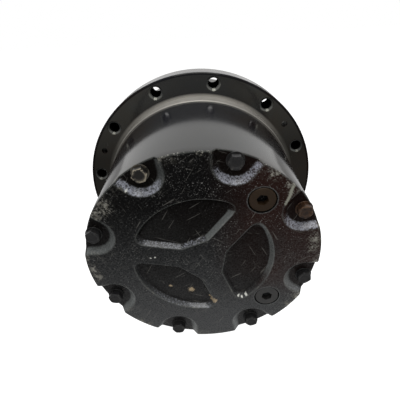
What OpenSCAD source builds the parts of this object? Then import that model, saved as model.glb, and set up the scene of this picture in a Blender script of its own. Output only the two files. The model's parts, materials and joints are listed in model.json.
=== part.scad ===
// Track drive of a 13 tonne crawler excavator: two planetary stages inside a turning gear case,
// on a fixed spindle that also houses an axial piston motor. Millimetres, spin axis along Y,
// end cover towards -Y, origin at the centre of the face that bolts to the track frame.

/* [Sprocket flange] */
// Distance from the track frame face out to the sprocket face
sprocket_offset = 95; // [93:0.5:100]
// Width of the sprocket flange outside its register
flange_w = 38; // [36:0.5:48]
// Thickness of the sprocket flange
flange_t = 43; // [38:0.5:45]
// How much smaller the flange rim is at its back than at the sprocket face, on the radius
flange_taper = 3.3; // [0:0.1:5]
// Distance from the flange rim in to the centre of a sprocket bolt hole
sprocket_hole_edge = 16.5; // [16:0.5:19]
// Number of sprocket bolt holes
sprocket_holes = 12; // [8:1:15]
// Diameter of a sprocket bolt hole
sprocket_hole_d = 17; // [16:0.5:18]
// Chamfer at the mouth of a sprocket bolt hole
sprocket_hole_chamfer = 3.5; // [1:0.1:4]
// Angle of the first sprocket bolt hole
sprocket_hole_angle = 20.5; // [0:0.5:30]
// Distance from the flange rim in to the centre of a jack screw hole
jack_hole_edge = 17.5; // [16:0.5:20]
// Number of jack screw holes
jack_holes = 3; // [2:1:4]
// Diameter of a jack screw hole
jack_hole_d = 10.2; // [8:0.1:12]
// Height of the sprocket register above the gear case
register_step = 2; // [1.5:0.5:4]
// Length of the register
register_l = 22; // [18:0.5:26]
// Chamfer on the turned edges of the gear case
case_chamfer = 1.5; // [0.8:0.1:2.5]

/* [Gear case] */
// Wall of the gear case outside the roots of the ring gear teeth
ring_wall = 30.15; // [29:0.05:32]
// Wall of the lip that shields the floating seal
lip_wall = 8; // [6:0.5:10]
// Depth of the turned relief below the roots of the ring gear teeth
relief_depth = 1.65; // [1:0.05:2]
// Width of the tooth runout groove
runout_w = 6; // [4:0.5:8]
// Length of the bore between the ring gear teeth and the outboard bearing
step_l = 20; // [18:0.5:22]

/* [End cover] */
// Height of the end cover above the gear case
cover_over = 1.1; // [0.8:0.1:1.5]
// Thickness of the end cover
cover_t = 24; // [22:0.5:28]
// Chamfer around the front edge of the cover
cover_chamfer = 2; // [1:0.1:3]
// Height of the crown in the middle of the cover
cover_crown = 3.6; // [1:0.1:5]
// Distance from the circle of the level plugs in to the three cast recesses
recess_gap = 22.5; // [22:0.5:32]
// Depth of the cast recesses below half the height of the crown
recess_depth = 7.2; // [5:0.1:8]
// Slope of the recess walls away from the axis
recess_draft = 31; // [15:1:40]
// Width of the spokes between the recesses
spoke_w = 31; // [26:0.5:44]
// Distance from the axis to the blunt inner end of a recess
recess_apex = 29; // [27:0.5:36]
// Angle of the first spoke
spoke_angle = 49.7; // [0:0.1:119]

/* [Cover bolts] */
// Number of cover bolts
cover_bolts_n = 8; // [6:1:9]
// Distance from the outside of the gear case in to the centre of a cover bolt
cover_bolt_edge = 9.5; // [8.5:0.5:10.5]
// Angle of the first cover bolt
cover_bolt_angle = 27.2; // [0:0.2:45]
// Thread diameter of a cover bolt
cover_bolt_d = 12; // [10:1:12]
// Size across the flats of a cover bolt head
cover_bolt_flats = 18; // [16:0.5:19]
// Height of a cover bolt head with its washer face
cover_bolt_head = 9.9; // [7:0.1:11]
// Length of a cover bolt in the gear case
cover_bolt_grip = 22; // [18:1:26]
// Depth of the pocket around a cover bolt
pocket_depth = 9; // [7:0.2:11]
// Radius of the pocket at its floor
pocket_floor_r = 21.5; // [18:0.5:23]
// Radius of the pocket at the cover face
pocket_face_r = 29; // [26:0.5:31]

/* [Level plugs] */
// Distance from the circle of the cover bolts in to a level plug
plug_inset = 30.5; // [29.5:0.5:32.5]
// Angle of the upper plug
upper_plug_angle = 49; // [48:0.5:50]
// Angle of the lower plug
lower_plug_angle = -41; // [-42:0.5:-40]
// Diameter of a plug head
plug_head_d = 34.4; // [33:0.2:37]
// Thickness of a plug head
plug_head_t = 6; // [5:0.2:7]
// Thread diameter of a plug
plug_d = 26.4; // [22:0.2:27]
// Gap around a plug head in its counterbore
plug_gap = 1.4; // [0.8:0.1:1.8]
// Size across the flats of the hex socket in a plug
plug_socket = 14; // [12:0.5:15]
// Depth of the hex socket
plug_socket_depth = 9; // [7:0.5:11]
// Thickness of the seal ring under a plug head
plug_seal_t = 2.4; // [1.8:0.1:2.8]

/* [Main bearings] */
// Wall of the spindle outside the bore around the swash plate
spindle_wall = 18; // [16:0.5:20]
// Radial height of a main bearing
bearing_h = 30; // [29.5:0.1:31]
// Width of a main bearing
bearing_w = 26; // [24:0.5:28]
// Distance between the two main bearings
bearing_gap = 38; // [32:0.5:44]
// Radial thickness of a bearing ring
bearing_ring_t = 10.6; // [10:0.1:11]
// Diameter of a bearing ball
ball_d = 17; // [16:0.2:17.6]
// Number of balls in a bearing
balls_n = 28; // [20:1:30]
// Width of the slotted nut that clamps the bearings
nut_w = 13.6; // [11:0.2:16]
// Height of the slotted nut above the spindle
nut_h = 14; // [12:0.5:17]

/* [Floating seal] */
// Step up from the spindle to the neck under the floating seal
neck_step = 8; // [6:0.5:10]
// Gap between the neck and a metal seal ring
seal_neck_gap = 8; // [6:0.5:10]
// Width of the sealing face
seal_face_w = 10; // [8:0.5:12]
// Width of one metal seal ring
seal_ring_w = 14; // [13:0.5:15]
// Thickness of a rubber ring under a metal seal ring
seal_o_d = 10; // [9:0.2:11]
// Room between the frame flange and the fixed seal ring
seal_seat = 6; // [5:0.5:7]
// Room between the turning seal ring and the inboard bearing
seal_to_bearing = 12; // [10:0.5:14]

/* [Gear teeth] */
// Module of all the gears
tooth_module = 3.5; // [3.45:0.01:3.52]
// Backlash between two gears
backlash = 0.3; // [0.2:0.05:0.5]

/* [Planet stages] */
// Face width of the first stage planets
planet1_w = 22.5; // [20:0.5:24]
// Face width of the second stage planets
planet2_w = 37; // [34:0.5:40]
// Diameter of a first stage planet pin
pin1_d = 32; // [28:0.5:34]
// Diameter of a second stage planet pin
pin2_d = 40; // [36:0.5:42]
// Diameter of a needle roller
needle_d = 5.9; // [5:0.1:6.4]
// Thickness of a thrust washer
thrust_t = 2.6; // [2:0.1:3]
// Thickness of a pin clip
clip_t = 1.8; // [1.4:0.1:2.2]
// Thickness of the first stage carrier
carrier1_t = 11; // [10:0.5:13]
// Width of the first stage carrier outside its pins
carrier1_rim = 12.5; // [10:0.5:14]
// Thickness of the second stage carrier
carrier2_t = 13; // [12:0.5:15]
// Width of the second stage carrier outside its pins
carrier2_rim = 13.25; // [11:0.25:15]
// Diameter of the shaft behind the first sun gear
drive_shaft_d = 26; // [24:0.5:27]

/* [Frame flange] */
// Width of the frame flange outside its register
frame_flange_w = 38; // [36:0.5:42]
// Thickness of the flange that bolts to the track frame
frame_flange_t = 28; // [25:0.5:30]
// Distance from the rim of the frame flange in to the centre of a bolt hole
frame_hole_edge = 15.5; // [14:0.5:17]
// Number of frame bolt holes
frame_holes = 16; // [12:1:18]
// Diameter of a frame bolt hole
frame_hole_d = 17.5; // [16:0.5:18]
// Height of the frame register above the collar around the floating seal
frame_register_step = 2; // [1.5:0.5:4]
// Length of the frame register
frame_register_l = 10; // [8:0.5:12]

/* [Motor] */
// Length of the motor housing behind the frame face
tail_l = 70; // [68:0.5:74]
// Wall of the motor housing outside the brake
tail_wall = 26; // [25:0.5:27]
// Radial overlap of the friction plates and the steel plates
friction_w = 18; // [15:0.5:19]
// Room between the cylinder block and the bore around the swash plate
motor_room = 14; // [12:0.5:16]
// Wall of the cylinder block outside the pistons
block_wall = 11; // [9:0.5:13]
// Length of the cylinder block
block_l = 80; // [76:0.5:82]
// Diameter of a motor piston
piston_d = 18; // [16:0.5:19]
// Number of motor pistons
pistons_n = 9; // [7:2:9]
// Wall of the cylinder block between the shaft and the pistons
block_web = 9; // [8:0.5:10]
// Tilt of the swash plate in low speed
swash_tilt = 15; // [14:0.5:15.5]
// Diameter of the motor shaft in the cylinder block
shaft_d = 40; // [37:0.5:41]
// Step down from the motor shaft to its journals
journal_step = 3; // [2:0.5:4]
// Radial height of a shaft bearing
shaft_bearing_h = 13; // [12:0.5:14]
// Width of a shaft bearing
shaft_bearing_w = 16; // [14:0.5:18]
// Thickness of the valve plate
valve_plate_t = 6; // [5:0.5:8]
// Thickness of a brake plate
brake_plate_t = 3; // [2.5:0.1:3.2]
// Number of friction plates
friction_n = 3; // [2:1:3]
// Travel of the brake piston
brake_travel = 2; // [1:0.1:3]

/* [Rear cover] */
// Step down from the motor housing to the rear cover flange
rear_flange_step = 2; // [1:0.5:3]
// Thickness of the rear cover flange
rear_flange_t = 24; // [22:0.5:28]
// Length of the port block behind the flange
port_block_l = 44; // [42:0.5:48]
// Room between the side of the port block and a bolt head
port_block_side = 10.5; // [9:0.5:14]
// Room between the top of the port block and a bolt head
port_block_rise = 28.5; // [26:0.5:30]
// Diameter of the two main oil ports
main_port_d = 24.2; // [22:0.1:25]
// Distance between the two main oil ports
main_port_gap = 56; // [52:0.5:60]
// Diameter of the drain port
drain_port_d = 18.6; // [16:0.1:20]
// Diameter of the two speed pilot port
pilot_port_d = 11.6; // [9:0.1:12]
// Diameter of the counterbalance spool
spool_d = 28; // [24:0.5:29]

/* [Hidden] */

$fn = 96;
planets_n = 3;
planet_angle = 90;
planet_step = 360 / planets_n;
half_turn = 180;
quarter_turn = 90;
hex_half = 30;
cut = 1;

// Small sizes that several pieces share
run_gap = 0.05;
side_gap = 0.3;
seat_gap = 0.4;
stage_gap = 1.5;

// Tooth counts and proportions
ring_teeth = 72;
sun1_teeth = 12;
sun2_teeth = 18;
pressure_angle = 20;
addendum_share = 0.8;
dedendum_share = 1.1;
flank_steps = 3;
addendum = addendum_share * tooth_module;
dedendum = dedendum_share * tooth_module;
planet1_teeth = (ring_teeth - sun1_teeth) / 2;
planet2_teeth = (ring_teeth - sun2_teeth) / 2;
function pitch_r(teeth) = tooth_module * teeth / 2;
arm1 = pitch_r(sun1_teeth + planet1_teeth);
arm2 = pitch_r(sun2_teeth + planet2_teeth);
ring_tip_r = pitch_r(ring_teeth) - addendum;
ring_root_r = pitch_r(ring_teeth) + dedendum;

// Radii of the motor, from its shaft outwards
journal_d = shaft_d - 2 * journal_step;
shaft_bearing_d = journal_d + 2 * shaft_bearing_h;
piston_r = shaft_d / 2 + block_web + piston_d / 2;
block_d = 2 * piston_r + piston_d + 2 * block_wall;
motor_bore_d = block_d + 2 * motor_room;
swash_rim = 18;
swash_r = piston_r + swash_rim;
steel_gap = 4;
steel_lap = 6;
steel_in_r = block_d / 2 + steel_gap;
friction_out_r = steel_in_r + friction_w;
brake_bore_d = 2 * friction_out_r + 2 * steel_lap;
tail_d = brake_bore_d + 2 * tail_wall;

// Radii of the spindle, the main bearings, the floating seal and the frame flange
spindle_d = motor_bore_d + 2 * spindle_wall;
bearing_d = spindle_d + 2 * bearing_h;
nut_d = spindle_d + 2 * nut_h;
seal_step = 2;
neck_d = spindle_d + 2 * neck_step;
seal_in_d = neck_d + 2 * seal_neck_gap;
seal_out_d = seal_in_d + 2 * seal_face_w;
seal_body_t = 6;
seal_house_d = seal_in_d + 2 * seal_body_t + 2 * seal_o_d;
collar_t = 6;
collar_d = seal_house_d + 2 * collar_t;
lip_gap = 2;
lip_bore_d = collar_d + 2 * lip_gap;
lip_d = lip_bore_d + 2 * lip_wall;
frame_register_d = collar_d + 2 * frame_register_step;
frame_seat_step = 1;
frame_seat_d = frame_register_d + 2 * frame_seat_step;
frame_flange_d = frame_register_d + 2 * frame_flange_w;
frame_pcd = frame_flange_d - 2 * frame_hole_edge;

// Radii of the gear case, the sprocket flange and the end cover
case_fillet = 4;
relief_d = 2 * ring_root_r + 2 * relief_depth;
case_d = 2 * ring_root_r + 2 * ring_wall;
register_d = max(case_d + 2 * register_step, lip_d + 2 * case_fillet);
flange_seat_step = 1;
flange_seat_d = register_d + 2 * flange_seat_step;
flange_d = register_d + 2 * flange_w;
flange_back_r = flange_d / 2 - flange_taper;
sprocket_pcd = flange_d - 2 * sprocket_hole_edge;
jack_pcd = flange_d - 2 * jack_hole_edge;
cover_d = case_d + 2 * cover_over;
cover_pcd = case_d - 2 * cover_bolt_edge;
plug_offset = cover_pcd / 2 - plug_inset;
recess_r = plug_offset - recess_gap;
wide = 2 * flange_d;

// Diameters of the carriers
carrier1_d = 2 * arm1 + pin1_d + 2 * carrier1_rim;
carrier2_d = 2 * arm2 + pin2_d + 2 * carrier2_rim;

// Places along the spin axis, measured outboard from the frame face
flange_back = sprocket_offset - flange_t;
flange_gap = 6;
lip_in = frame_flange_t + flange_gap;
seal_face = frame_flange_t + seal_seat + seal_ring_w;
bearing_a = seal_face + seal_ring_w + seal_to_bearing;
rib_in = bearing_a + bearing_w;
bearing_b = rib_in + bearing_gap;
nut_in = bearing_b + bearing_w;
spindle_end = nut_in + nut_w + seat_gap;
plate2_out = spindle_end + carrier2_t;
planet2_in = plate2_out + thrust_t + side_gap;
planet2_out = planet2_in + planet2_w;
pin_lip = 1.4;
pin2_out = planet2_out + side_gap + thrust_t + clip_t + pin_lip;
carrier1_in = pin2_out + stage_gap;
carrier1_out = carrier1_in + carrier1_t;
planet1_in = carrier1_out + thrust_t + side_gap;
planet1_out = planet1_in + planet1_w;
pin1_out = planet1_out + side_gap + thrust_t + clip_t + pin_lip;
cover_gap = 2;
joint = pin1_out + cover_gap;
cover_face = joint + cover_t;
relief_l = 4;
ring_in = nut_in + step_l + runout_w;

// Rib between the main bearings, and the collar around the floating seal
rib_h = 8;
rib_r = bearing_d / 2 - rib_h;
collar_l = 17;

// Motor places, measured outboard from the frame face
case_rear = -tail_l;
block_rear = case_rear + valve_plate_t + run_gap;
block_front = block_rear + block_l;
stub_l = 22;
pivot = block_front + stub_l;
shoe_h = 8;
swash_t = 14;
rocker_rise = 12;
rocker_r = shoe_h + swash_t + rocker_rise;
cradle_back = 12;
cavity_end = pivot + rocker_r + cradle_back;
seal_w = 10;
front_bore_end = cavity_end + shaft_bearing_w + seal_w;
plate_gap = 0.2;
plate_pitch = brake_plate_t + plate_gap;
steel_pitch = 2 * plate_pitch;
brake_stack = (2 * friction_n + 1) * plate_pitch;
brake_piston_l = 28;
brake_piston_in = case_rear + brake_stack;
spring_room = 27.6;
brake_shoulder = brake_piston_in + brake_piston_l + brake_travel + spring_room;
coupling_r = 21;
coupling_gap = 5;
coupling_bore_d = 2 * coupling_r + 2 * coupling_gap;
socket_wall = 14;
socket_in = front_bore_end + socket_wall;
tail_fit = 2;
drive_tail = socket_in + tail_fit;
socket_recess = 12;
socket_out = spindle_end - socket_recess;

// Rear cover places
rear_flange_in = case_rear - rear_flange_t;
rear_face = rear_flange_in - port_block_l;
rear_flange_d = tail_d - 2 * rear_flange_step;
rear_bolt_edge = 13;
rear_bolt_r = tail_d / 2 - rear_bolt_edge;
rear_bolt_flats = 21;
port_block_w = 2 * rear_bolt_r - rear_bolt_flats - 2 * port_block_side;
port_block_h = 2 * rear_bolt_r - rear_bolt_flats - 2 * port_block_rise;

module on_axis() rotate([quarter_turn, 0, 0]) children();

// A straight rod between two places along the axis
module rod(r, from, to) translate([0, 0, from]) cylinder(r = r, h = to - from);

// A straight tube between two places along the axis
module tube(r_out, r_in, from, to) {
    difference() {
        rod(r_out, from, to);
        rod(r_in, from - cut, to + cut);
    }
}

// Copies around the axis, at a radius, with a first angle
module around(count, radius, turn = 0)
    for (i = [0 : count - 1]) rotate(turn + i * 360 / count) translate([radius, 0, 0]) children();

module hex_rod(flats, from, to)
    translate([0, 0, from]) cylinder(d = flats / cos(half_turn / 6), h = to - from, $fn = 6);

// Involute helpers, with angles in degrees
function inv(a) = tan(a) * half_turn / PI - a;
function base_r(teeth) = pitch_r(teeth) * cos(pressure_angle);
function half_tooth(teeth, r, thick) = quarter_turn / teeth + thick * half_turn / PI / pitch_r(teeth)
    + inv(pressure_angle) - inv(acos(min(1, base_r(teeth) / r)));
function at(r, a) = [r * cos(a), r * sin(a)];
function flank_r(teeth, root, tip, i) =
    max(root, base_r(teeth)) + (tip - max(root, base_r(teeth))) * i / flank_steps;

// One tooth centred on angle c, from its right root to its left root
function tooth(teeth, root, tip, thick, c) = concat(
    [at(root, c - half_tooth(teeth, max(root, base_r(teeth)), thick))],
    [for (i = [0 : flank_steps]) let (r = flank_r(teeth, root, tip, i))
        at(r, c - half_tooth(teeth, r, thick))],
    [for (i = [flank_steps : -1 : 0]) let (r = flank_r(teeth, root, tip, i))
        at(r, c + half_tooth(teeth, r, thick))],
    [at(root, c + half_tooth(teeth, max(root, base_r(teeth)), thick))]);

module gear_2d(teeth, root, tip, thick, turn = 0)
    polygon([for (k = [0 : teeth - 1]) each tooth(teeth, root, tip, thick, turn + k * 360 / teeth)]);

module outer_gear(teeth, from, to, turn = 0)
    translate([0, 0, from]) linear_extrude(to - from)
        gear_2d(teeth, pitch_r(teeth) - dedendum, pitch_r(teeth) + addendum, -backlash / 4, turn);

// Straight sided splines, used for the male and the female side
spline_keys = 6;
module splined(r, key_h, key_w, from, to) {
    rod(r, from, to);
    for (i = [0 : spline_keys - 1]) rotate(i * 360 / spline_keys)
        translate([0, -key_w / 2, from]) cube([r + key_h, key_w, to - from]);
}

// Fixed spindle and motor housing
frame_bolt_angle = half_turn / frame_holes;
rear_bolt_d = 14;
rear_bolt_angles = [0, 52, 90, 128, 180, 232, 270, 308];
rear_bolt_grip = 26;
speed_piston_r = 11;
speed_piston_inset = 6;
speed_piston_y = swash_r - speed_piston_inset;
speed_bore_l = 36;
carrier_bolt_r = 60;
carrier_bolt_d = 12;
carrier_bolt_grip = 24;
carrier_bolt_spread = 15;
module motor_case() color("dimgray") on_axis() difference() {
    rotate_extrude() polygon([
        [coupling_bore_d / 2, spindle_end], [coupling_bore_d / 2, front_bore_end],
        [shaft_bearing_d / 2, front_bore_end], [shaft_bearing_d / 2, cavity_end],
        [motor_bore_d / 2, cavity_end], [motor_bore_d / 2, brake_shoulder],
        [brake_bore_d / 2, brake_shoulder], [brake_bore_d / 2, case_rear],
        [tail_d / 2, case_rear], [tail_d / 2, -frame_register_l - case_fillet],
        [tail_d / 2 + case_fillet, -frame_register_l],
        [frame_register_d / 2 - case_chamfer, -frame_register_l],
        [frame_register_d / 2, case_chamfer - frame_register_l], [frame_register_d / 2, 0],
        [frame_seat_d / 2, 0], [frame_seat_d / 2, frame_flange_t],
        [collar_d / 2, frame_flange_t], [collar_d / 2, frame_flange_t + collar_l],
        [seal_house_d / 2, frame_flange_t + collar_l], [seal_house_d / 2, frame_flange_t],
        [neck_d / 2, frame_flange_t], [neck_d / 2, bearing_a], [spindle_d / 2, bearing_a],
        [spindle_d / 2, spindle_end]]);
    rear_bolt_places() rod(rear_bolt_d / 2, case_rear - cut, case_rear + rear_bolt_grip);
    translate([0, speed_piston_y, 0]) rod(speed_piston_r, cavity_end - cut, cavity_end + speed_bore_l);
    carrier_bolt_places() rod(carrier_bolt_d / 2, spindle_end - carrier_bolt_grip, spindle_end + cut);
}

// Flange of the same casting that bolts to the track frame, as a ring around the register
module frame_flange() color("dimgray") on_axis() difference() {
    rotate_extrude() polygon([
        [frame_seat_d / 2, 0], [frame_flange_d / 2 - case_chamfer, 0],
        [frame_flange_d / 2, case_chamfer], [frame_flange_d / 2, frame_flange_t - case_chamfer],
        [frame_flange_d / 2 - case_chamfer, frame_flange_t], [frame_seat_d / 2, frame_flange_t]]);
    around(frame_holes, frame_pcd / 2, frame_bolt_angle)
        rod(frame_hole_d / 2, -cut, frame_flange_t + cut);
}

module rear_bolt_places()
    for (turn = rear_bolt_angles) rotate(turn) translate([rear_bolt_r, 0, 0]) children();
module carrier_bolt_places()
    for (side = [-1, 1]) around(planets_n, carrier_bolt_r,
        planet_angle + planet_step / 2 + side * carrier_bolt_spread) children();

// Rear cover with the port block, its ports, the valve bores and the rear shaft bearing seat
port_block_corner = 12;
main_port_y = 20;
main_port_depth = 20;
drain_port_x = -30;
drain_port_inset = 18;
drain_port_z = rear_flange_in - drain_port_inset;
drain_port_depth = 15;
pilot_port_edge = 16;
pilot_port_y = port_block_h / 2 - pilot_port_edge;
pilot_port_depth = 14;
cap_flats = 34;
cap_side = 1;
spool_y = -24;
spool_z = rear_flange_in - cap_flats / 2 - cap_side;
valve_flats = 24;
valve_side = 1.5;
valve_y = 24;
valve_z = rear_flange_in - valve_flats / 2 - valve_side;
valve_d = 22;
valve_l = 36;
kidney_half_w = 4;
kidney_in_r = piston_r - kidney_half_w;
kidney_out_r = piston_r + kidney_half_w;
boss_h = 3;
boss_wall = 7;
module port_block_2d() {
    square([port_block_w, port_block_h - 2 * port_block_corner], center = true);
    square([port_block_w - 2 * port_block_corner, port_block_h], center = true);
    for (sx = [-1, 1], sy = [-1, 1])
        translate([sx * (port_block_w / 2 - port_block_corner), sy * (port_block_h / 2 - port_block_corner)])
            circle(port_block_corner);
}
module across(y, z) translate([0, y, z]) rotate([0, quarter_turn, 0]) children();
module rear_cover() color("dimgray") on_axis() difference() {
    union() {
        rod(rear_flange_d / 2, rear_flange_in, case_rear);
        translate([0, 0, rear_face + boss_h]) linear_extrude(rear_flange_in - rear_face - boss_h)
            port_block_2d();
        for (sx = [-1, 1]) translate([sx * main_port_gap / 2, main_port_y, 0])
            rod(main_port_d / 2 + boss_wall, rear_face, rear_flange_in);
    }
    for (sx = [-1, 1]) translate([sx * main_port_gap / 2, main_port_y, 0])
        rod(main_port_d / 2, rear_face - cut, rear_face + main_port_depth);
    translate([0, pilot_port_y, 0]) rod(pilot_port_d / 2, rear_face - cut, rear_face + pilot_port_depth);
    translate([drain_port_x, port_block_h / 2 - drain_port_depth, drain_port_z])
        rotate([-quarter_turn, 0, 0]) cylinder(r = drain_port_d / 2, h = drain_port_depth + cut);
    across(spool_y, spool_z) rod(spool_d / 2, -port_block_w / 2 - cut, port_block_w / 2 + cut);
    for (sx = [-1, 1]) across(valve_y, valve_z)
        rod(valve_d / 2, min(sx * (port_block_w / 2 - valve_l), sx * (port_block_w / 2 + cut)),
            max(sx * (port_block_w / 2 - valve_l), sx * (port_block_w / 2 + cut)));
    rear_bolt_places() rod(rear_bolt_d / 2 + seat_gap, rear_flange_in - cut, case_rear + cut);
    rod(shaft_bearing_d / 2, case_rear - shaft_bearing_w, case_rear + cut);
    rod(journal_d / 2 + seat_gap, case_rear - shaft_bearing_w - shaft_end_room, case_rear);
}
shaft_end_room = 6;

rear_bolt_head = 9;
module rear_cover_bolts() color("gray") on_axis() rear_bolt_places() {
    rod(rear_bolt_d / 2, rear_flange_in, case_rear + rear_bolt_grip - cut);
    hex_rod(rear_bolt_flats, rear_flange_in - rear_bolt_head, rear_flange_in);
}

// Valve plate with its two kidney ports
kidney_half = 62;
valve_plate_rim = 12;
valve_plate_r = piston_r + valve_plate_rim;
module kidney(turn, from, to) intersection() {
    tube(kidney_out_r, kidney_in_r, from, to);
    rotate(turn) translate([0, 0, from - cut]) linear_extrude(to - from + 2 * cut)
        polygon([[0, 0], at(wide, -kidney_half), [wide, 0], at(wide, kidney_half)]);
}
module valve_plate() color("tan") on_axis() difference() {
    tube(valve_plate_r, journal_d / 2 + seat_gap, case_rear, case_rear + valve_plate_t);
    for (turn = [0, half_turn]) kidney(turn, case_rear - cut, case_rear + valve_plate_t + cut);
}

// Shaft bearings: one at each end of the motor
shaft_ring_t = 4.6;
shaft_ball_d = 6.6;
shaft_balls_n = 14;
shaft_pitch_r = (shaft_bearing_d + journal_d) / 4;
groove_gap = 0.05;
module shaft_bearing_places() for (from = [case_rear - shaft_bearing_w, cavity_end])
    translate([0, 0, from]) children();
module shaft_race(r_out, r_in) rotate_extrude() difference() {
    translate([r_in, 0]) square([r_out - r_in, shaft_bearing_w]);
    translate([shaft_pitch_r, shaft_bearing_w / 2]) circle(shaft_ball_d / 2 + groove_gap);
}
module shaft_bearing_outer_rings() color("silver") on_axis() shaft_bearing_places()
    shaft_race(shaft_bearing_d / 2, shaft_bearing_d / 2 - shaft_ring_t);
module shaft_bearing_inner_rings() color("silver") on_axis() shaft_bearing_places()
    shaft_race(journal_d / 2 + shaft_ring_t, journal_d / 2);
module shaft_bearing_balls() color("silver") on_axis() shaft_bearing_places()
    around(shaft_balls_n, shaft_pitch_r) translate([0, 0, shaft_bearing_w / 2])
        sphere(d = shaft_ball_d, $fn = 24);

module shaft_seal() color("black") on_axis()
    tube(shaft_bearing_d / 2, journal_d / 2 + side_gap, cavity_end + shaft_bearing_w, front_bore_end);

// Two blocks with hollow seats that the rockers of the swash plate turn in
cradle_half = 18;
rocker_in_gap = 6;
rocker_in_x = shaft_d / 2 + rocker_in_gap;
rocker_edge = 6;
rocker_out_x = swash_r - rocker_edge;
rocker_side = 2;
rocker_fit = 0.08;
module rocker_rod(r, from, to) translate([0, 0, pivot]) rotate([0, quarter_turn, 0]) rod(r, from, to);
module swash_cradle() color("peru") on_axis() for (sx = [-1, 1]) difference() {
    translate([sx * (rocker_in_x + rocker_out_x) / 2, 0, (pivot + cavity_end) / 2])
        cube([rocker_out_x - rocker_in_x + 2 * rocker_side, 2 * cradle_half, cavity_end - pivot],
            center = true);
    rocker_rod(rocker_r + rocker_fit, -wide, wide);
}

// Brake plates between the cylinder block and the housing
friction_in_r = block_d / 2;
module brake_steel_plates() color("gray") on_axis() for (i = [0 : friction_n])
    tube(brake_bore_d / 2, steel_in_r, case_rear + i * steel_pitch,
        case_rear + i * steel_pitch + brake_plate_t);
module brake_friction_plates() color("saddlebrown") on_axis() for (i = [0 : friction_n - 1])
    tube(friction_out_r, friction_in_r, case_rear + plate_pitch + i * steel_pitch,
        case_rear + plate_pitch + i * steel_pitch + brake_plate_t);

// Ring piston that the springs press on the brake plates
spring_pocket = 12;
spring_r = 8;
springs_n = 8;
spring_circle = (brake_bore_d / 2 + steel_in_r) / 2;
module brake_piston() color("slategray") on_axis() difference() {
    tube(brake_bore_d / 2 - run_gap, steel_in_r, brake_piston_in, brake_piston_in + brake_piston_l);
    around(springs_n, spring_circle) rod(spring_r + seat_gap,
        brake_piston_in + brake_piston_l - spring_pocket, brake_piston_in + brake_piston_l + cut);
}
spring_wire = 3;
module brake_springs() color("silver") on_axis() around(springs_n, spring_circle)
    tube(spring_r, spring_r - spring_wire,
        brake_piston_in + brake_piston_l - spring_pocket + run_gap, brake_shoulder);

// Counterbalance spool across the rear cover, with a cap at each end
spool_half = 50;
spool_travel = 8;
cap_in = spool_half + spool_travel + seat_gap;
cap_head = 8;
land_w = 14;
spool_neck_r = 9;
module spool_caps() color("gray") on_axis() for (sx = [0, half_turn])
    translate([0, spool_y, spool_z]) rotate([0, quarter_turn + sx, 0]) {
        rod(spool_d / 2, cap_in, port_block_w / 2);
        rotate(hex_half) hex_rod(cap_flats, port_block_w / 2, port_block_w / 2 + cap_head);
    }
module counterbalance_spool() color("silver") on_axis() across(spool_y, spool_z) {
    rod(spool_neck_r, -spool_half, spool_half);
    for (x = [-spool_half, -land_w / 2, spool_half - land_w]) rod(spool_d / 2 - run_gap, x, x + land_w);
}

valve_head = 10;
valve_tip_l = 8;
valve_tip_r = 6;
module relief_valves() color("goldenrod") on_axis() for (sx = [0, half_turn])
    translate([0, valve_y, valve_z]) rotate([0, quarter_turn + sx, 0]) {
        rod(valve_d / 2, port_block_w / 2 - valve_l + valve_tip_l, port_block_w / 2);
        rod(valve_tip_r, port_block_w / 2 - valve_l, port_block_w / 2);
        rotate(hex_half) hex_rod(valve_flats, port_block_w / 2, port_block_w / 2 + valve_head);
        rod(valve_tip_r, port_block_w / 2, port_block_w / 2 + valve_head + valve_tip_l);
    }

// Main bearings: two ball bearings with inner rings on the spindle and outer rings in the case
main_pitch_r = (bearing_d + spindle_d) / 4;
cage_t = 3.2;
cage_side = 2;
cage_gap = 0.3;
module main_bearing_places() for (from = [bearing_a, bearing_b]) translate([0, 0, from]) children();
module main_race(r_out, r_in) rotate_extrude() difference() {
    translate([r_in, 0]) square([r_out - r_in, bearing_w]);
    translate([main_pitch_r, bearing_w / 2]) circle(ball_d / 2 + groove_gap);
}
module bearing_inner_rings() color("silver") on_axis() main_bearing_places()
    main_race(spindle_d / 2 + bearing_ring_t, spindle_d / 2);
module bearing_outer_rings() color("silver") on_axis() main_bearing_places()
    main_race(bearing_d / 2, bearing_d / 2 - bearing_ring_t);
module bearing_balls() color("silver") on_axis() main_bearing_places()
    around(balls_n, main_pitch_r) translate([0, 0, bearing_w / 2]) sphere(d = ball_d, $fn = 32);
module bearing_cages() color("goldenrod") on_axis() main_bearing_places() difference() {
    tube(main_pitch_r + cage_t / 2, main_pitch_r - cage_t / 2, cage_side, bearing_w - cage_side);
    around(balls_n, main_pitch_r - cage_t) translate([0, 0, bearing_w / 2])
        rotate([0, quarter_turn, 0]) cylinder(r = ball_d / 2 + cage_gap, h = 2 * cage_t);
}

nut_slots = 6;
nut_slot_w = 14;
nut_slot_depth = 5;
module bearing_nut() color("gray") on_axis() difference() {
    tube(nut_d / 2, spindle_d / 2, nut_in, nut_in + nut_w);
    for (i = [0 : nut_slots - 1]) rotate(i * 360 / nut_slots)
        translate([nut_d / 2 - nut_slot_depth, -nut_slot_w / 2, nut_in - cut])
            cube([nut_slot_depth + cut, nut_slot_w, nut_w + 2 * cut]);
}

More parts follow.
